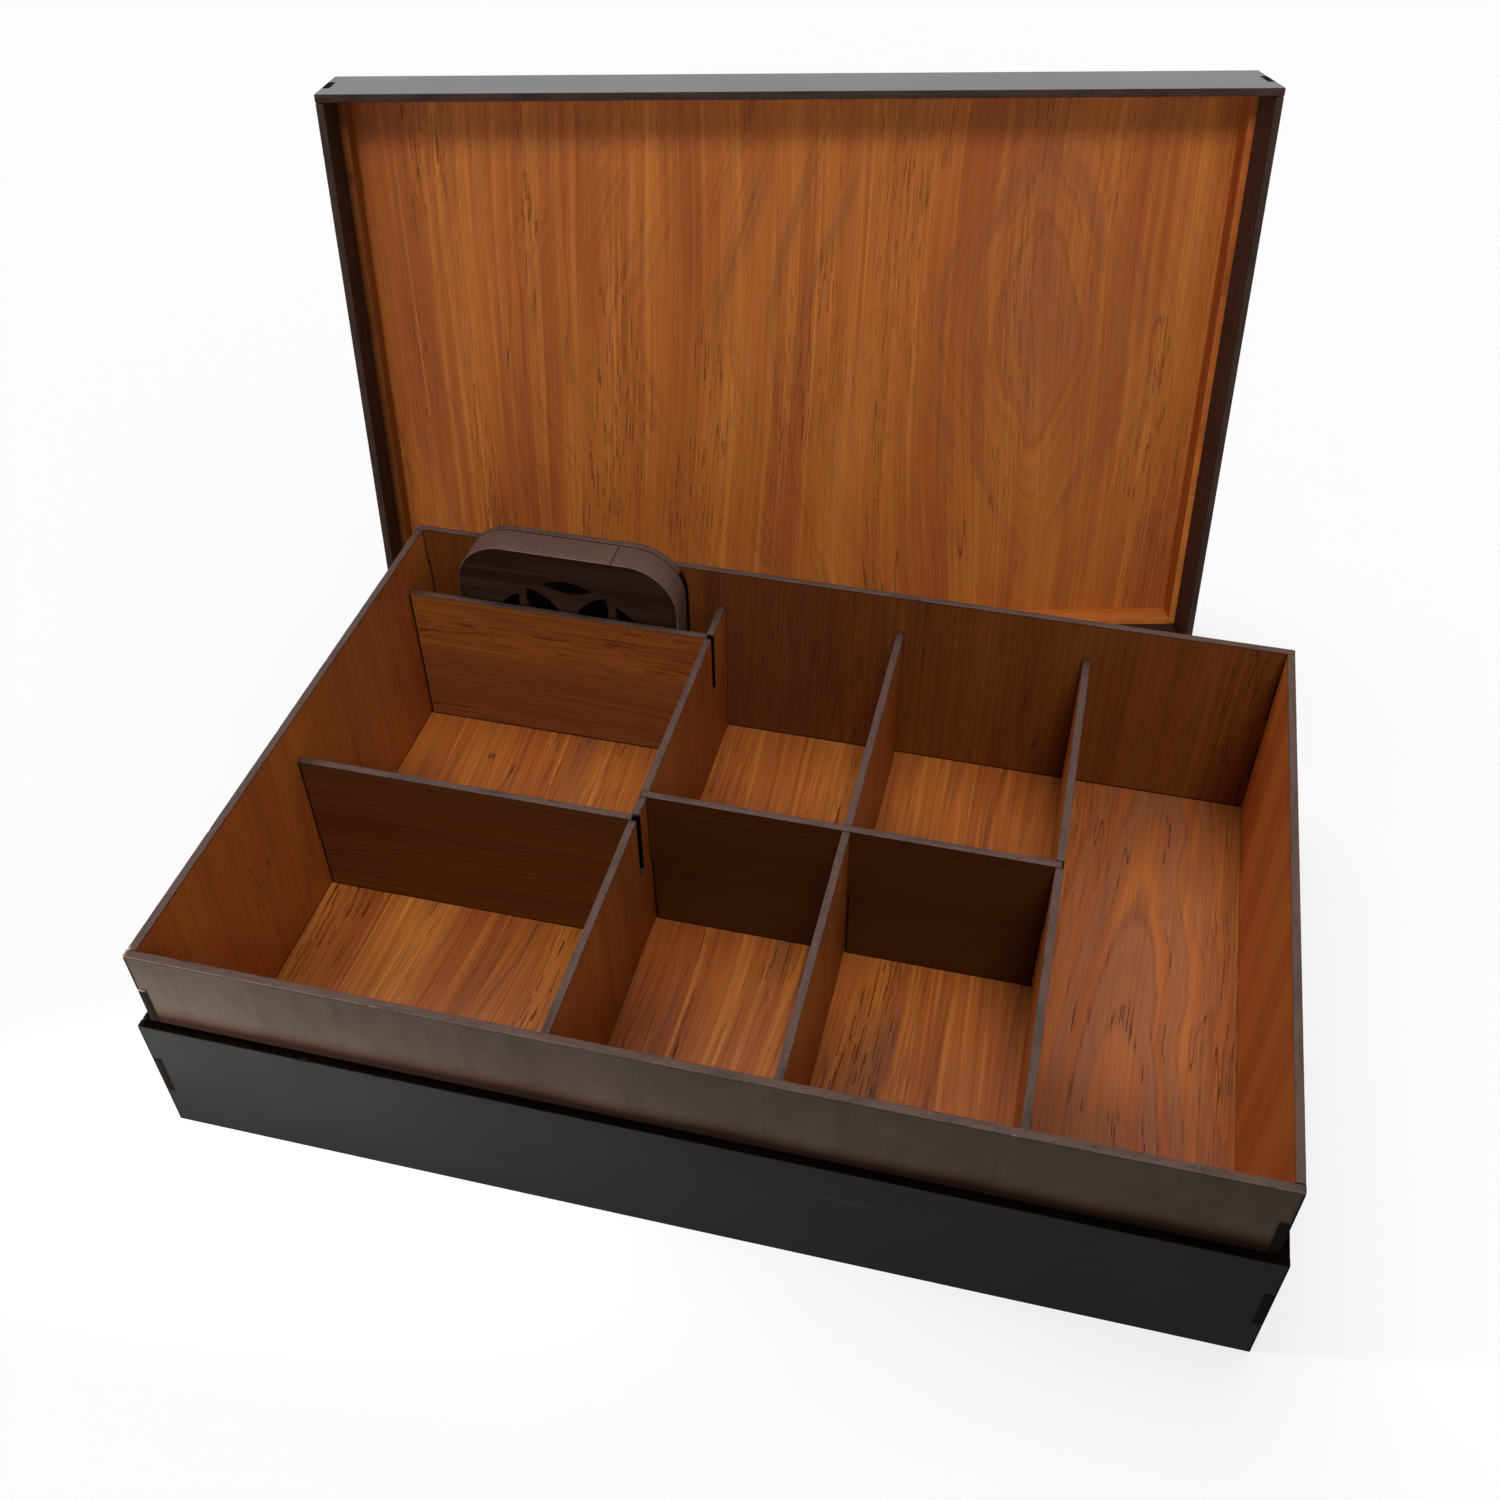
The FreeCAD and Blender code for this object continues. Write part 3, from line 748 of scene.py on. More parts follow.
# Each finish: its maker, its coat and what else the maker takes
FINISHES = {
    "teak_face": (teak_finish, Coat(0.40, 0.56, 0.08 * MM, 0.6, 1.22), {}),
    "umber_face": (umber_finish, UMBER_COAT, {"base": "umber", "paint_foot_shade": True}),
    "lid_inside": (umber_finish, UMBER_COAT, {"base": "lid_brown"}),
    "lid_inside_pale": (umber_finish, UMBER_COAT, {"base": "lid_brown_painted_light"}),
    "pale_cut": (umber_finish, UMBER_COAT, {"base": "pale_cut"}),
    "slate_face": (slate_finish, Coat(0.33, 0.53, 0.03 * MM, 0.4, 1.04), {"base": "slate"}),
    "lid_slate": (slate_finish, Coat(0.26, 0.46, 0.03 * MM, 0.4, 1.48), {"base": "lid_slate"}),
    "cut_edge": (cut_finish, Coat(0.48, 0.68, 0.06 * MM, 0.5, 1.30), {"light": 1.0}),
    "lid_edge": (cut_finish, Coat(0.48, 0.68, 0.06 * MM, 0.5, 1.20), {"light": 0.55}),
    "dark_edge": (cut_finish, Coat(0.48, 0.68, 0.06 * MM, 0.5, 1.03), {"light": 0.04}),
    "stained_plate": (stain_finish, STAIN_COAT, {"light": 1.0}),
    "stained_core": (stain_finish, STAIN_COAT, {"light": 0.04}),
    "band_face": (band_finish, Coat(0.45, 0.65, 0.06 * MM, 0.5, 1.20), {}),
}


def finish(name):
    """The named finish, made once."""
    made = bpy.data.materials.get(name)
    if made is None:
        maker, coat, look = FINISHES[name]
        made = maker(name, bpy.context.scene.compartment_box.finishes, coat, **look)
    return made


# Boards

class Board(NamedTuple):
    """One flat board: the CAD node it stands for, how it lies and how its faces look.

    Facing is the direction of its front, grain that of its grain and free that of its open edges. The
    finishes are those of front, back and open cut, and the tone is light and red, which on the inner boards
    and lid strips is painted light and shade. The heart is the heart line's place along and across the
    grain, in mm from the middle, and the figure its depth in mm and its tilt. Calm fades the figure, flame
    brings out bands round the heart, burn scorches the edges and step scales the distance between points.
    """

    node: str
    body: str
    slot: str
    facing: str
    grain: str
    finishes: tuple
    tone: tuple = (1.0, 0.0)
    heart: tuple = None
    figure: tuple = None
    calm: float = 0.45
    flame: float = 0.0
    burn: float = 1.0
    step: float = 1.0
    free: str = "+z"
    seed: float = None


TEAK_ALL = ("teak_face", "teak_face", "teak_face")
TEAK_BOTH = ("teak_face", "teak_face", "cut_edge")
TEAK_UMBER = ("teak_face", "umber_face", "cut_edge")
TEAK_SLATE = ("teak_face", "slate_face", "cut_edge")
SLATE_BOTH = ("slate_face", "slate_face", "dark_edge")
SATIN_SLATE = ("lid_slate", "slate_face", "dark_edge")
LID_TOP = ("lid_slate", "lid_slate", "lid_edge")
LID_WALL = ("lid_inside", "lid_slate", "lid_edge")
# The lid's right wall is paler inside as painted light
LID_WALL_PAINTED_LIGHT = ("lid_inside_pale", "lid_slate", "lid_edge")
STAINED = ("stained_plate", "stained_plate", "cut_edge")

# The neck's rim is nearest to the eye, so its points are closer
RIM_STEP = 0.7
# The lid strips' raised tone is painted light on their sides, and the left strip's lower, redder tone is
# painted shade
STRIP = {"tone": (1.4, 0.0), "burn": 0.2, "free": "lid_in"}
SHADED_STRIP = {**STRIP, "tone": (0.55, 0.2)}

OUTER_WALLS = (
    # The front wall takes the darker slate as painted shade
    Board("outer_front", "box", "dark_shell", "-y", "+x", SLATE_BOTH),
    Board("outer_back", "box", "dark_shell", "+y", "+x", SATIN_SLATE),
    Board("outer_left", "box", "dark_shell", "-x", "+y", SATIN_SLATE),
    Board("outer_right", "box", "dark_shell", "+x", "+y", SATIN_SLATE),
)
# Tones of the neck walls are painted light and shade: the back wall darker and redder, the right wall
# lighter, the others lighter or darker by how light falls on them
NECK_WALLS = (
    Board("neck_front", "box", "brown_neck", "+y", "+z", TEAK_UMBER, tone=(0.80, 0.25), step=RIM_STEP),
    Board("neck_back", "box", "brown_neck", "-y", "+z", TEAK_UMBER, tone=(0.37, 0.55), step=RIM_STEP,
          calm=0.0),
    Board("neck_left", "box", "brown_neck", "+x", "+z", TEAK_UMBER, tone=(1.08, 0.30), step=RIM_STEP),
    Board("neck_right", "box", "brown_neck", "-x", "+z", TEAK_UMBER, tone=(1.55, 0.0), step=RIM_STEP,
          calm=0.9),
)
FLOOR_PANEL = Board("floor_panel", "box", "grain_board", "+z", "+y", TEAK_SLATE, heart=(-160.0, 146.0),
                    figure=(16.0, 0.09), calm=-0.3, flame=1.0, seed=33.1)
# Tones of the dividers and partitions are painted light and shade: the cross divider and partitions, which
# face the front, darker and redder, the dividers lighter or darker by how light falls on their sides
DIVIDERS = (
    Board("divider_left", "divider_grid", "grain_board", "+x", "+z", TEAK_BOTH, tone=(0.84, 0.30)),
    Board("divider_middle", "divider_grid", "grain_board", "+x", "+z", TEAK_BOTH, tone=(0.75, 0.30)),
    Board("divider_right", "divider_grid", "grain_board", "-x", "+z", TEAK_BOTH, tone=(1.05, 0.15)),
    Board("cross_divider", "divider_grid", "grain_board", "-y", "+x", TEAK_BOTH, tone=(0.145, 0.6), calm=0.2),
    Board("partition_back", "partition_back", "grain_board", "-y", "+x", TEAK_BOTH, tone=(0.63, 0.15),
          calm=0.0),
    Board("partition_mid", "partition_mid", "grain_board", "-y", "+x", TEAK_BOTH, tone=(0.25, 0.3), calm=0.1),
)
LID_SHELL = (
    Board("lid_top_panel", "lid", "dark_shell", "lid_out", "lid_right", LID_TOP, free="lid_in"),
    Board("lid_wall_front", "lid", "dark_shell", "lid_down", "lid_right", LID_WALL, free="lid_in"),
    Board("lid_wall_back", "lid", "dark_shell", "lid_up", "lid_right", LID_WALL, free="lid_in"),
    Board("lid_wall_left", "lid", "dark_shell", "lid_right", "lid_up", LID_WALL, free="lid_in"),
    Board("lid_wall_right", "lid", "dark_shell", "lid_left", "lid_up", LID_WALL_PAINTED_LIGHT, free="lid_in"),
)
LID_LINING = (
    Board("lid_lining_panel", "lid", "lid_lining", "lid_in", "lid_up", TEAK_BOTH, tone=(1.04, 0.0),
          heart=(20.0, 110.0), figure=(4.0, 0.36), calm=0.2, flame=0.25, free="lid_in", seed=52.6),
    Board("lid_strip_front", "lid", "lid_lining", "lid_down", "lid_right", TEAK_ALL, **STRIP),
    Board("lid_strip_back", "lid", "lid_lining", "lid_up", "lid_right", TEAK_ALL, **STRIP),
    Board("lid_strip_left", "lid", "lid_lining", "lid_right", "lid_up", TEAK_ALL, **SHADED_STRIP),
    Board("lid_strip_right", "lid", "lid_lining", "lid_left", "lid_up", TEAK_ALL, **STRIP),
)
INSERT_BACK = Board("insert_back_plate", "insert", "insert_stain", "+y", "+x", STAINED)

# Rounded arris of a cut board, from the flat face to the cut side, with its ripple and its nicks
ARRIS_TURN = np.radians([0.0, 30.0, 60.0, 90.0])
TIGHT_ARRIS = 0.4
FREE_COSINE = 0.5
RIPPLE_COUNT = 14
RIPPLE_ORDERS = (4, 90)
NICK_WIDTHS = (0.6 * MM, 2.2 * MM)
NICK_DEPTHS = (0.15, 1.0)

# Places of the finishes in a board's mesh
FACE, BACK, CUT, HIDDEN_CUT = range(4)
OPEN_BURN = 1.0
# Cuts hidden in slots and joints are darkened almost to black
HIDDEN_CUT_DARKENING = 2.0

# Random figure of a board that has none of its own: the heart's reach, depth and tilt, and the seed
HEART_ALONG = 60
HEART_ACROSS = 160
HEART_DEPTHS = (20, 70)
HEART_TILT = 0.05
MOST_SEED = 90


def trace(corners, normal, step):
    """Even places along a closed outline, about a step apart, with the carried and local inward step at each.

    A side's inward step is normal x direction, and a corner's is (ahead + behind) / (1 + ahead . behind),
    which moves both of its sides by one. Carried steps go evenly from corner to corner; local ones are the
    side's own.
    """
    sides = np.roll(corners, -1, axis=0) - corners
    spans = np.linalg.norm(sides, axis=1, keepdims=True)
    counts = np.maximum(np.ceil(spans[:, 0] / step).astype(int), 1)
    side = np.repeat(np.arange(len(corners)), counts)
    first = np.repeat(np.cumsum(counts) - counts, counts)
    share = ((np.arange(counts.sum()) - first) / counts[side])[:, None]
    following = (side + 1) % len(corners)

    ahead = np.cross(normal, sides / spans)
    behind = np.roll(ahead, 1, axis=0)
    mitre = (ahead + behind) / (1 + (ahead * behind).sum(axis=1, keepdims=True))
    path = corners[side] * (1 - share) + corners[following] * share
    carry = mitre[side] * (1 - share) + mitre[following] * share
    local = np.where(share > 0, ahead[side], mitre[side])
    return path, carry, local


def worn_arris(run, total, free, rng, boards):
    """Arris radius along an edge, and how deep its nicks are as a share of the deepest.

    The radius is the plain one with a mean of sines as ripple, plus bell-shaped nicks on free edges.
    """
    orders = rng.integers(*RIPPLE_ORDERS, RIPPLE_COUNT)[:, None]
    turns = rng.uniform(0, 2 * np.pi, RIPPLE_COUNT)[:, None]
    ripple = np.sin(2 * np.pi * orders * run / total + turns).mean(axis=0)
    places = rng.uniform(0, total, max(int(total / boards.nick_spacing), 1))[:, None]
    widths = rng.uniform(*NICK_WIDTHS, places.shape)
    depths = boards.nick * rng.uniform(*NICK_DEPTHS, places.shape) ** 2
    apart = np.abs(run - places)
    apart = np.minimum(apart, total - apart)
    nicks = (depths * np.exp(-(apart / widths) ** 2)).max(axis=0) * free
    plain_arris = boards.arris * np.where(free, 1.0, TIGHT_ARRIS)
    return plain_arris * (1 + 2 * boards.ripple * ripple) + nicks, nicks / boards.nick


def edge_rings(front, back, thickness, boards):
    """Inset and depth of each ring round the outline: margin, quarter-round arris, side, and the same back.

    On an arris of radius r at turn t the inset is r * (1 - sin t) and the depth r * (1 - cos t). The last
    result is each ring's inset on a plain arris.
    """
    inward = 1 - np.sin(ARRIS_TURN)[:, None]
    deep = 1 - np.cos(ARRIS_TURN)[:, None]
    flat = np.zeros_like(front)
    scorch = boards.scorch
    inset = np.vstack([front + scorch, front * inward, flat, (back * inward)[::-1], back + scorch])
    far = thickness - back * deep
    depth = np.vstack([flat, front * deep, flat + thickness / 2, far[::-1], flat + thickness])
    margin = [[boards.arris + scorch]]
    arris = boards.arris * inward
    even = np.vstack([margin, arris, [[0.0]], arris[::-1], margin])
    return inset, depth, even


def ring_faces(rings, count):
    """Quads between each ring of points and the next, all round."""
    ring = np.arange(rings - 1)[:, None] * count
    place = np.arange(count)[None, :]
    after = (place + 1) % count
    below = ring + count
    return np.stack([ring + place, below + place, below + after, ring + after], axis=-1).reshape(-1, 4)


def face_kinds(rings, free, hides_cuts):
    """Finish of each face of a board: front and margin, back and margin, open cuts and hidden ones."""
    kinds = np.full((rings - 1, len(free)), CUT)
    kinds[0] = FACE
    kinds[-1] = BACK
    if hides_cuts:
        kinds[1:-1, ~free] = HIDDEN_CUT
    return np.append(kinds.ravel(), [FACE, BACK]).astype(np.int32)


def store(mesh, name, *values):
    """Put a vector per point into the mesh, from three numbers or arrays."""
    layer = mesh.attributes.new(name, "FLOAT_VECTOR", "POINT")
    shape = (len(mesh.vertices),)
    vectors = np.stack([np.broadcast_to(value, shape) for value in values], axis=1)
    layer.data.foreach_set("vector", np.ascontiguousarray(vectors, np.float32).ravel())


def store_figure(mesh, board, placed, normal, scorch, rng):
    """Put a board's place in the grain, figure and tone into the mesh, by chance where it has none."""
    grain = AXES[board.grain]
    across = np.cross(grain, normal)
    heart = board.heart or (rng.uniform(-HEART_ALONG, HEART_ALONG), rng.uniform(-HEART_ACROSS, HEART_ACROSS))
    figure = board.figure or (rng.uniform(*HEART_DEPTHS), rng.uniform(-HEART_TILT, HEART_TILT))
    seed = rng.uniform(0, MOST_SEED) if board.seed is None else board.seed
    store(mesh, "grain", placed @ grain - heart[0], placed @ across - heart[1], scorch)
    store(mesh, "figure", *figure, board.calm)
    store(mesh, "boldness", board.flame, 0.0, 0.0)
    store(mesh, "tone", *board.tone, seed)


def put_in_place(mesh, finishes, body, node):
    """Link a finished mesh as a piece that rides on a body and stands for a CAD node."""
    for name in finishes:
        mesh.materials.append(finish(name))
    piece = bpy.data.objects.new(mesh.name, mesh)
    bpy.context.scene.collection.objects.link(piece)
    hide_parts(node)
    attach(piece, body)
    return piece


def make_board(board):
    """Carry the worn edge's rings round the board's outline and close both faces.

    Each point is the outline's point, plus its inward step times the inset, minus the normal times the depth.
    """
    boards = bpy.context.scene.compartment_box.boards
    rng = np.random.default_rng(zlib.crc32(board.node.encode()))
    corners, normal, thickness = read_outline(board.node, AXES[board.facing])
    path, carry, local = trace(corners, normal, boards.step * board.step)
    lengths = np.linalg.norm(np.roll(path, -1, axis=0) - path, axis=1)
    run = np.cumsum(lengths) - lengths
    total = lengths.sum()

    free = -local @ AXES[board.free] > FREE_COSINE
    front, front_wear = worn_arris(run, total, free, rng, boards)
    back, back_wear = worn_arris(run, total, free, rng, boards)
    inset, depth, even = edge_rings(front, back, thickness, boards)
    rings, count = inset.shape
    points = path + carry * even[:, :, None] + local * (inset - even)[:, :, None] - normal * depth[:, :, None]
    points = points.reshape(-1, 3)

    mesh = bpy.data.meshes.new(f"{board.node}_board")
    caps = [list(range(count)), list(range((rings - 1) * count, rings * count))[::-1]]
    mesh.from_pydata(points.tolist(), [], ring_faces(rings, count).tolist() + caps)
    kinds = face_kinds(rings, free, board.finishes != TEAK_ALL)
    mesh.polygons.foreach_set("material_index", kinds)
    mesh.polygons.foreach_set("use_smooth", kinds >= CUT)

    centre = (corners.max(axis=0) + corners.min(axis=0)) / 2
    scorch = np.zeros((rings, count))
    scorch[1:-1] = board.burn * np.where(free, OPEN_BURN, HIDDEN_CUT_DARKENING)
    store_figure(mesh, board, (points - centre) / MM, normal, scorch.ravel(), rng)
    wear = np.repeat([front_wear, back_wear], [rings - rings // 2, rings // 2], axis=0)
    store(mesh, "cut", np.tile(run / MM, rings), depth.ravel() / MM, wear.ravel())
    put_in_place(mesh, (*board.finishes, "dark_edge"), board.body, board.node)


def make_boards(boards):
    """Make each board of a group."""
    for board in boards:
        make_board(board)


# Insert

# Band: its points, its rounded edges, its play round the core, its bends and its seam
BAND_STEP = 1.2 * MM
BAND_ROUND = 0.25 * MM
BAND_ROUND_POINTS = 4
BAND_PLAY = 0.1 * MM
BEND_TURN = 0.004
BAND_SEAM = 0.35 * MM
SEAM_PLACE = (0.72, 0.0, 1.0)

# Places of the finishes in the band's mesh
BAND_SIDE, BAND_ARRIS, BAND_FRONT = range(3)

# Pierced plate: its bevel, and which of its faces are cut walls of the piercing
PLATE_BEVEL = 0.2 * MM
PLATE_BEVEL_STEPS = 2
PIERCED_REACH = 0.42
UPRIGHT_COSINE = 0.5


def open_path(low, high):
    """The back plate's outline as a path from one side of the seam to the other, and its inward steps."""
    corners, normal, _ = read_outline("insert_back_plate", AXES["+y"])
    path, carry, _ = trace(corners, normal, BAND_STEP)
    seam = low + (high - low) * np.array(SEAM_PLACE)
    first = np.argmin(np.linalg.norm((path - seam)[:, [0, 2]], axis=1))
    path = np.roll(path, -first, axis=0)
    carry = np.roll(carry, -first, axis=0)
    gap = path[-1:] - path[:1]
    path = np.vstack([path, path[:1] + gap * BAND_SEAM / np.linalg.norm(gap)])
    carry = np.vstack([carry, carry[:1]])
    return path, carry


def band_profile(wall, front, back):
    """Inset and level of the points of a rounded rectangle: each corner's centre + radius * (cos, sin)."""
    quarter = np.arange(4)[:, None] * np.pi / 2
    turn = quarter + np.linspace(0, np.pi / 2, BAND_ROUND_POINTS)[None, :]
    insets = np.array([wall - BAND_ROUND, BAND_ROUND, BAND_ROUND, wall - BAND_ROUND])[:, None]
    levels = np.array([back - BAND_ROUND, back - BAND_ROUND, front + BAND_ROUND, front + BAND_ROUND])[:, None]
    return (insets + BAND_ROUND * np.cos(turn)).ravel(), (levels + BAND_ROUND * np.sin(turn)).ravel()


def make_band():
    """Bent band: a rounded rectangle carried along the back plate's outline, open at a hairline seam.

    A point is the outline's point plus its inward step times the profile's inset, set at the profile's level.
    """
    low, high = (np.array(corner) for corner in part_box("insert_band"))
    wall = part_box("insert_core")[0].x - low[0] - BAND_PLAY
    path, carry = open_path(low, high)
    inset, level = band_profile(wall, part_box("insert_front_plate")[0].y, high[1])
    points = path[None, :, :] + carry[None, :, :] * inset[:, None, None]
    points[:, :, 1] = level[:, None]
    rings, count = points.shape[:2]

    ring = np.arange(rings)[:, None] * count
    after = np.roll(ring, -1, axis=0)
    place = np.arange(count - 1)[None, :]
    quads = np.stack([ring + place, after + place, after + place + 1, ring + place + 1], axis=-1)
    quads = quads.reshape(-1, 4)
    ends = [ring[::-1, 0].tolist(), (ring[:, 0] + count - 1).tolist()]
    mesh = bpy.data.meshes.new("insert_band_strip")
    mesh.from_pydata(points.reshape(-1, 3).tolist(), [], quads.tolist() + ends)
    mesh.polygons.foreach_set("use_smooth", np.arange(len(mesh.polygons)) < len(quads))

    # The profile's points go from its inner back corner by the outer corners to its inner front corner
    kinds = np.full(rings, BAND_SIDE)
    kinds[2 * BAND_ROUND_POINTS:3 * BAND_ROUND_POINTS - 1] = BAND_ARRIS
    kinds[3 * BAND_ROUND_POINTS - 1:] = BAND_FRONT
    kinds = np.append(np.repeat(kinds, count - 1), [BAND_SIDE, BAND_SIDE]).astype(np.int32)
    mesh.polygons.foreach_set("material_index", kinds)

    lengths = np.linalg.norm(np.diff(path, axis=0), axis=1)
    run = np.append(0.0, np.cumsum(lengths))
    heading = np.diff(path, axis=0) / lengths[:, None]
    turning = np.linalg.norm(np.diff(heading, axis=0, prepend=heading[:1]), axis=1) > BEND_TURN
    bend = np.append(turning, False).astype(float)
    store(mesh, "grain", np.tile(run / MM, rings), np.repeat(level / MM, count), np.tile(bend, rings))
    store(mesh, "tone", 1.0, 0.0, BAND_SEED)
    finishes = ("band_face", "pale_cut", "stained_plate")
    put_in_place(mesh, finishes, "insert", "insert_band")


def make_pierced_plate():
    """Front plate with its piercing: the CAD plate's own faces, merged, with a fine bevel on every cut."""
    mesh = merged_copy("insert_front_plate")
    mesh.name = "insert_pierced_plate"
    low, high = (np.array(corner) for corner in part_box("insert_front_plate"))
    upright = np.abs(gather(mesh.polygons, "normal", 3)[:, 1]) < UPRIGHT_COSINE
    reach = np.abs(gather(mesh.polygons, "center", 3) - (low + high) / 2)[:, [0, 2]].max(axis=1)
    pierced = upright & (reach < PIERCED_REACH * (high - low)[0])
    mesh.polygons.foreach_set("material_index", pierced.astype(np.int32))
    mesh.materials.clear()
    piece = put_in_place(mesh, ("stained_plate", "pale_cut"), "insert", "insert_front_plate")
    bevel = piece.modifiers.new("cut", "BEVEL")
    bevel.width = PLATE_BEVEL
    bevel.segments = PLATE_BEVEL_STEPS
    bevel.limit_method = "ANGLE"


# Stage

FLOOR_DROP = 0.15 * MM
FLOOR_POINTS = 3
WHITE = (1.0, 1.0, 1.0, 1.0)
SENSOR_WIDTH = 36.0
CLIP_START = 0.01
SIDE_LAMP_PLACE = (-0.50, -0.24, 0.07)
SIDE_LAMP_TARGET = (-0.17, -0.133, 0.05)
SIDE_LAMP_SIZE = (0.05, 0.03)
SIDE_LAMP_SPREAD = np.radians(26.0)


class Sun(NamedTuple):
    """Distant soft lamp: azimuth from the front to the right, height and spread in degrees, its setting."""

    name: str
    azimuth: float
    elevation: float
    spread: float
    setting: str


SUNS = (
    Sun("key_sun", -145.0, 68.0, 50.0, "key_strength"),
    Sun("front_sun", 9.0, 45.0, 14.0, "front_strength"),
    Sun("low_sun", 4.0, 13.0, 24.0, "low_strength"),
    Sun("right_sun", 80.0, 55.0, 70.0, "right_strength"),
)


def put_up(name, data, place, target):
    """Link a lamp or a camera at a place, turned towards a target."""
    item = bpy.data.objects.new(name, data)
    item.location = place
    item.rotation_euler = (Vector(target) - Vector(place)).to_track_quat("-Z", "Y").to_euler()
    bpy.context.scene.collection.objects.link(item)
    return item


def add_sun(sun, strength):
    """One distant lamp that shines on the origin."""
    turn, rise = np.radians((sun.azimuth, sun.elevation))
    place = (np.sin(turn) * np.cos(rise), -np.cos(turn) * np.cos(rise), np.sin(rise))
    lamp = bpy.data.lights.new(sun.name, "SUN")
    lamp.energy = strength
    lamp.angle = np.radians(sun.spread)
    put_up(sun.name, lamp, place, (0.0, 0.0, 0.0))


def add_side_lamp(power):
    """Small softbox, low at the left, that grazes the front of the neck."""
    lamp = bpy.data.lights.new("side_lamp", "AREA")
    lamp.shape = "RECTANGLE"
    lamp.size, lamp.size_y = SIDE_LAMP_SIZE
    lamp.spread = SIDE_LAMP_SPREAD
    lamp.energy = power
    item = put_up("side_lamp", lamp, SIDE_LAMP_PLACE, SIDE_LAMP_TARGET)
    item.visible_camera = False


def add_camera(stage):
    """The camera that takes the main view."""
    lens = bpy.data.cameras.new("view")
    lens.sensor_width = SENSOR_WIDTH
    lens.lens = stage.lens
    lens.shift_x, lens.shift_y = stage.shift
    lens.clip_start = CLIP_START
    bpy.context.scene.camera = put_up("view", lens, stage.eye, stage.target)


def seen_directly(tree):
    """1 for what the camera sees, also in gloss and through glass, and 0 for light that is given on."""
    path = Field(tree).make("ShaderNodeLightPath", out="Is Camera Ray")
    rays = path.socket.node.outputs
    glossy = Field(tree, rays["Is Glossy Ray"])
    through = Field(tree, rays["Is Transmission Ray"])
    return path.apply("MAXIMUM", glossy.apply("MAXIMUM", through))


def make_floor(stage):
    """Square floor just under the box, pale, with a share of even white where it is seen."""
    half = stage.floor_size / 2
    across = np.linspace(-half, half, FLOOR_POINTS)
    x, y = np.meshgrid(across, across)
    points = np.stack([x, y, np.full_like(x, -FLOOR_DROP)], axis=-1).reshape(-1, 3)
    first = np.arange(FLOOR_POINTS - 1)
    corner = (first[:, None] * FLOOR_POINTS + first[None, :]).ravel()
    behind = corner + FLOOR_POINTS
    quads = np.stack([corner, corner + 1, behind + 1, behind], axis=1)
    mesh = bpy.data.meshes.new("pale_floor")
    mesh.from_pydata(points.tolist(), [], quads.tolist())
    material, tree = new_tree("pale_floor")
    matt = Field(tree).make("ShaderNodeBsdfDiffuse", None, {"Color": opaque(stage.floor_colour)})
    white = matt.make("ShaderNodeEmission", None, {"Color": WHITE, "Strength": 1.0})
    mixed = matt.make("ShaderNodeMixShader", None,
                      {0: seen_directly(tree) * stage.floor_white, 1: matt, 2: white})
    mixed.make("ShaderNodeOutputMaterial", None, {"Surface": mixed})
    mesh.materials.append(material)
    floor = bpy.data.objects.new("pale_floor", mesh)
    bpy.context.scene.collection.objects.link(floor)


def make_sky(stage):
    """Even white all round: full strength where it is seen, less as light."""
    world = bpy.data.worlds.new("studio_sky")
    world.use_nodes = True
    tree = world.node_tree
    tree.nodes.clear()
    strength = seen_directly(tree).span(stage.sky, 1.0)
    sky = strength.make("ShaderNodeBackground", None, {"Color": WHITE, "Strength": strength})
    sky.make("ShaderNodeOutputWorld", None, {"Surface": sky})
    bpy.context.scene.world = world


# Operators, in the order in which they run

class COMPARTMENT_OT_outer_walls(bpy.types.Operator):
    """Four dark outer walls of the box"""

    bl_idname = "compartment.outer_walls"
    bl_label = "Outer walls"

    def execute(self, context):
        make_boards(OUTER_WALLS)
        return {"FINISHED"}


class COMPARTMENT_OT_neck_walls(bpy.types.Operator):
    """Four neck walls that the lid slips over"""

    bl_idname = "compartment.neck_walls"
    bl_label = "Neck walls"

    def execute(self, context):
        make_boards(NECK_WALLS)
        return {"FINISHED"}


class COMPARTMENT_OT_floor_panel(bpy.types.Operator):
    """Teak-faced floor of the box"""

    bl_idname = "compartment.floor_panel"
    bl_label = "Floor panel"

    def execute(self, context):
        make_board(FLOOR_PANEL)
        return {"FINISHED"}


class COMPARTMENT_OT_dividers(bpy.types.Operator):
    """Dividers and loose partitions"""

    bl_idname = "compartment.dividers"
    bl_label = "Dividers"

    def execute(self, context):
        make_boards(DIVIDERS)
        return {"FINISHED"}


class COMPARTMENT_OT_lid_shell(bpy.types.Operator):
    """Top panel and walls of the lid"""

    bl_idname = "compartment.lid_shell"
    bl_label = "Lid shell"

    def execute(self, context):
        make_boards(LID_SHELL)
        return {"FINISHED"}


class COMPARTMENT_OT_lid_lining(bpy.types.Operator):
    """Teak lining of the lid and the strips that stop it on the neck"""

    bl_idname = "compartment.lid_lining"
    bl_label = "Lid lining"

    def execute(self, context):
        make_boards(LID_LINING)
        return {"FINISHED"}


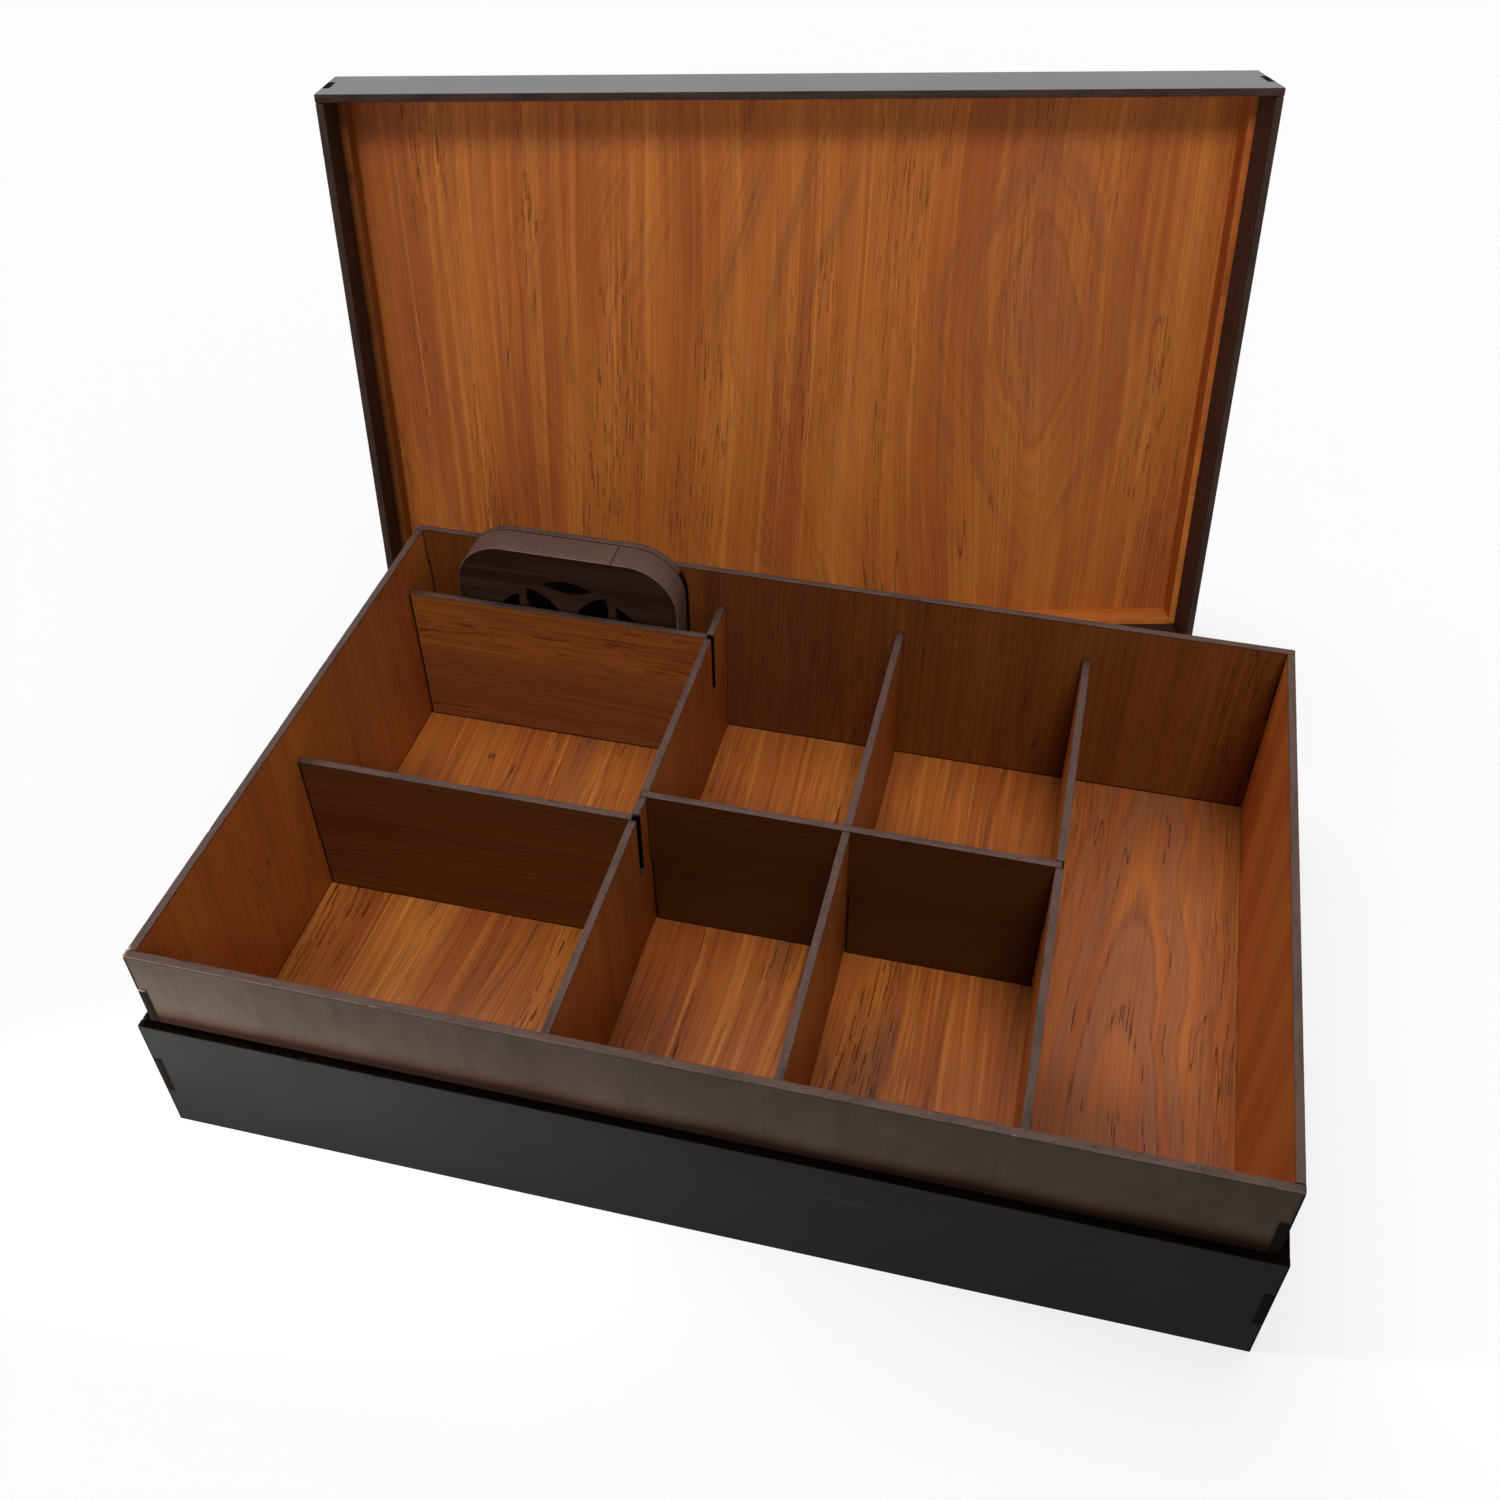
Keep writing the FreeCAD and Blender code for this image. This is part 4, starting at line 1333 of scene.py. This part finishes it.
class COMPARTMENT_OT_insert_tile(bpy.types.Operator):
    """Rounded insert tile with its pierced front plate"""

    bl_idname = "compartment.insert_tile"
    bl_label = "Insert tile"

    def execute(self, context):
        make_band()
        make_pierced_plate()
        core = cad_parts["insert_core"].data
        core.materials.clear()
        core.materials.append(finish("stained_core"))
        make_board(INSERT_BACK)
        return {"FINISHED"}


class COMPARTMENT_OT_stage(bpy.types.Operator):
    """Pale floor, soft lamps and the camera"""

    bl_idname = "compartment.stage"
    bl_label = "Stage"

    def execute(self, context):
        stage = context.scene.compartment_box.stage
        make_floor(stage)
        make_sky(stage)
        for sun in SUNS:
            add_sun(sun, getattr(stage, sun.setting))
        add_side_lamp(stage.side_power)
        add_camera(stage)
        context.scene.view_settings.view_transform = "Standard"
        return {"FINISHED"}


STEPS = (
    COMPARTMENT_OT_outer_walls,
    COMPARTMENT_OT_neck_walls,
    COMPARTMENT_OT_floor_panel,
    COMPARTMENT_OT_dividers,
    COMPARTMENT_OT_lid_shell,
    COMPARTMENT_OT_lid_lining,
    COMPARTMENT_OT_insert_tile,
    COMPARTMENT_OT_stage,
)


class COMPARTMENT_PT_sidebar(bpy.types.Panel):
    """Settings and steps of the compartment box"""

    bl_idname = "COMPARTMENT_PT_sidebar"
    bl_label = "Compartment box"
    bl_space_type = "VIEW_3D"
    bl_region_type = "UI"
    bl_category = "Compartment box"

    def draw(self, context):
        settings = context.scene.compartment_box
        for group in (settings.boards, settings.finishes, settings.stage):
            box = self.layout.box()
            for name in group.bl_rna.properties.keys():
                if name not in ("rna_type", "name"):
                    box.prop(group, name)
        for step in STEPS:
            self.layout.operator(step.bl_idname)


CLASSES = (BoardSettings, FinishSettings, StageSettings, BoxSettings, *STEPS, COMPARTMENT_PT_sidebar)


def register():
    """Register the classes and give the scene its settings."""
    for item in CLASSES:
        bpy.utils.register_class(item)
    bpy.types.Scene.compartment_box = PointerProperty(type=BoxSettings)


def unregister():
    """Take the settings and the classes away again."""
    del bpy.types.Scene.compartment_box
    for item in reversed(CLASSES):
        bpy.utils.unregister_class(item)


def main():
    register()
    for step in STEPS:
        group, name = step.bl_idname.split(".")
        getattr(getattr(bpy.ops, group), name)()


if __name__ == "__main__":
    main()
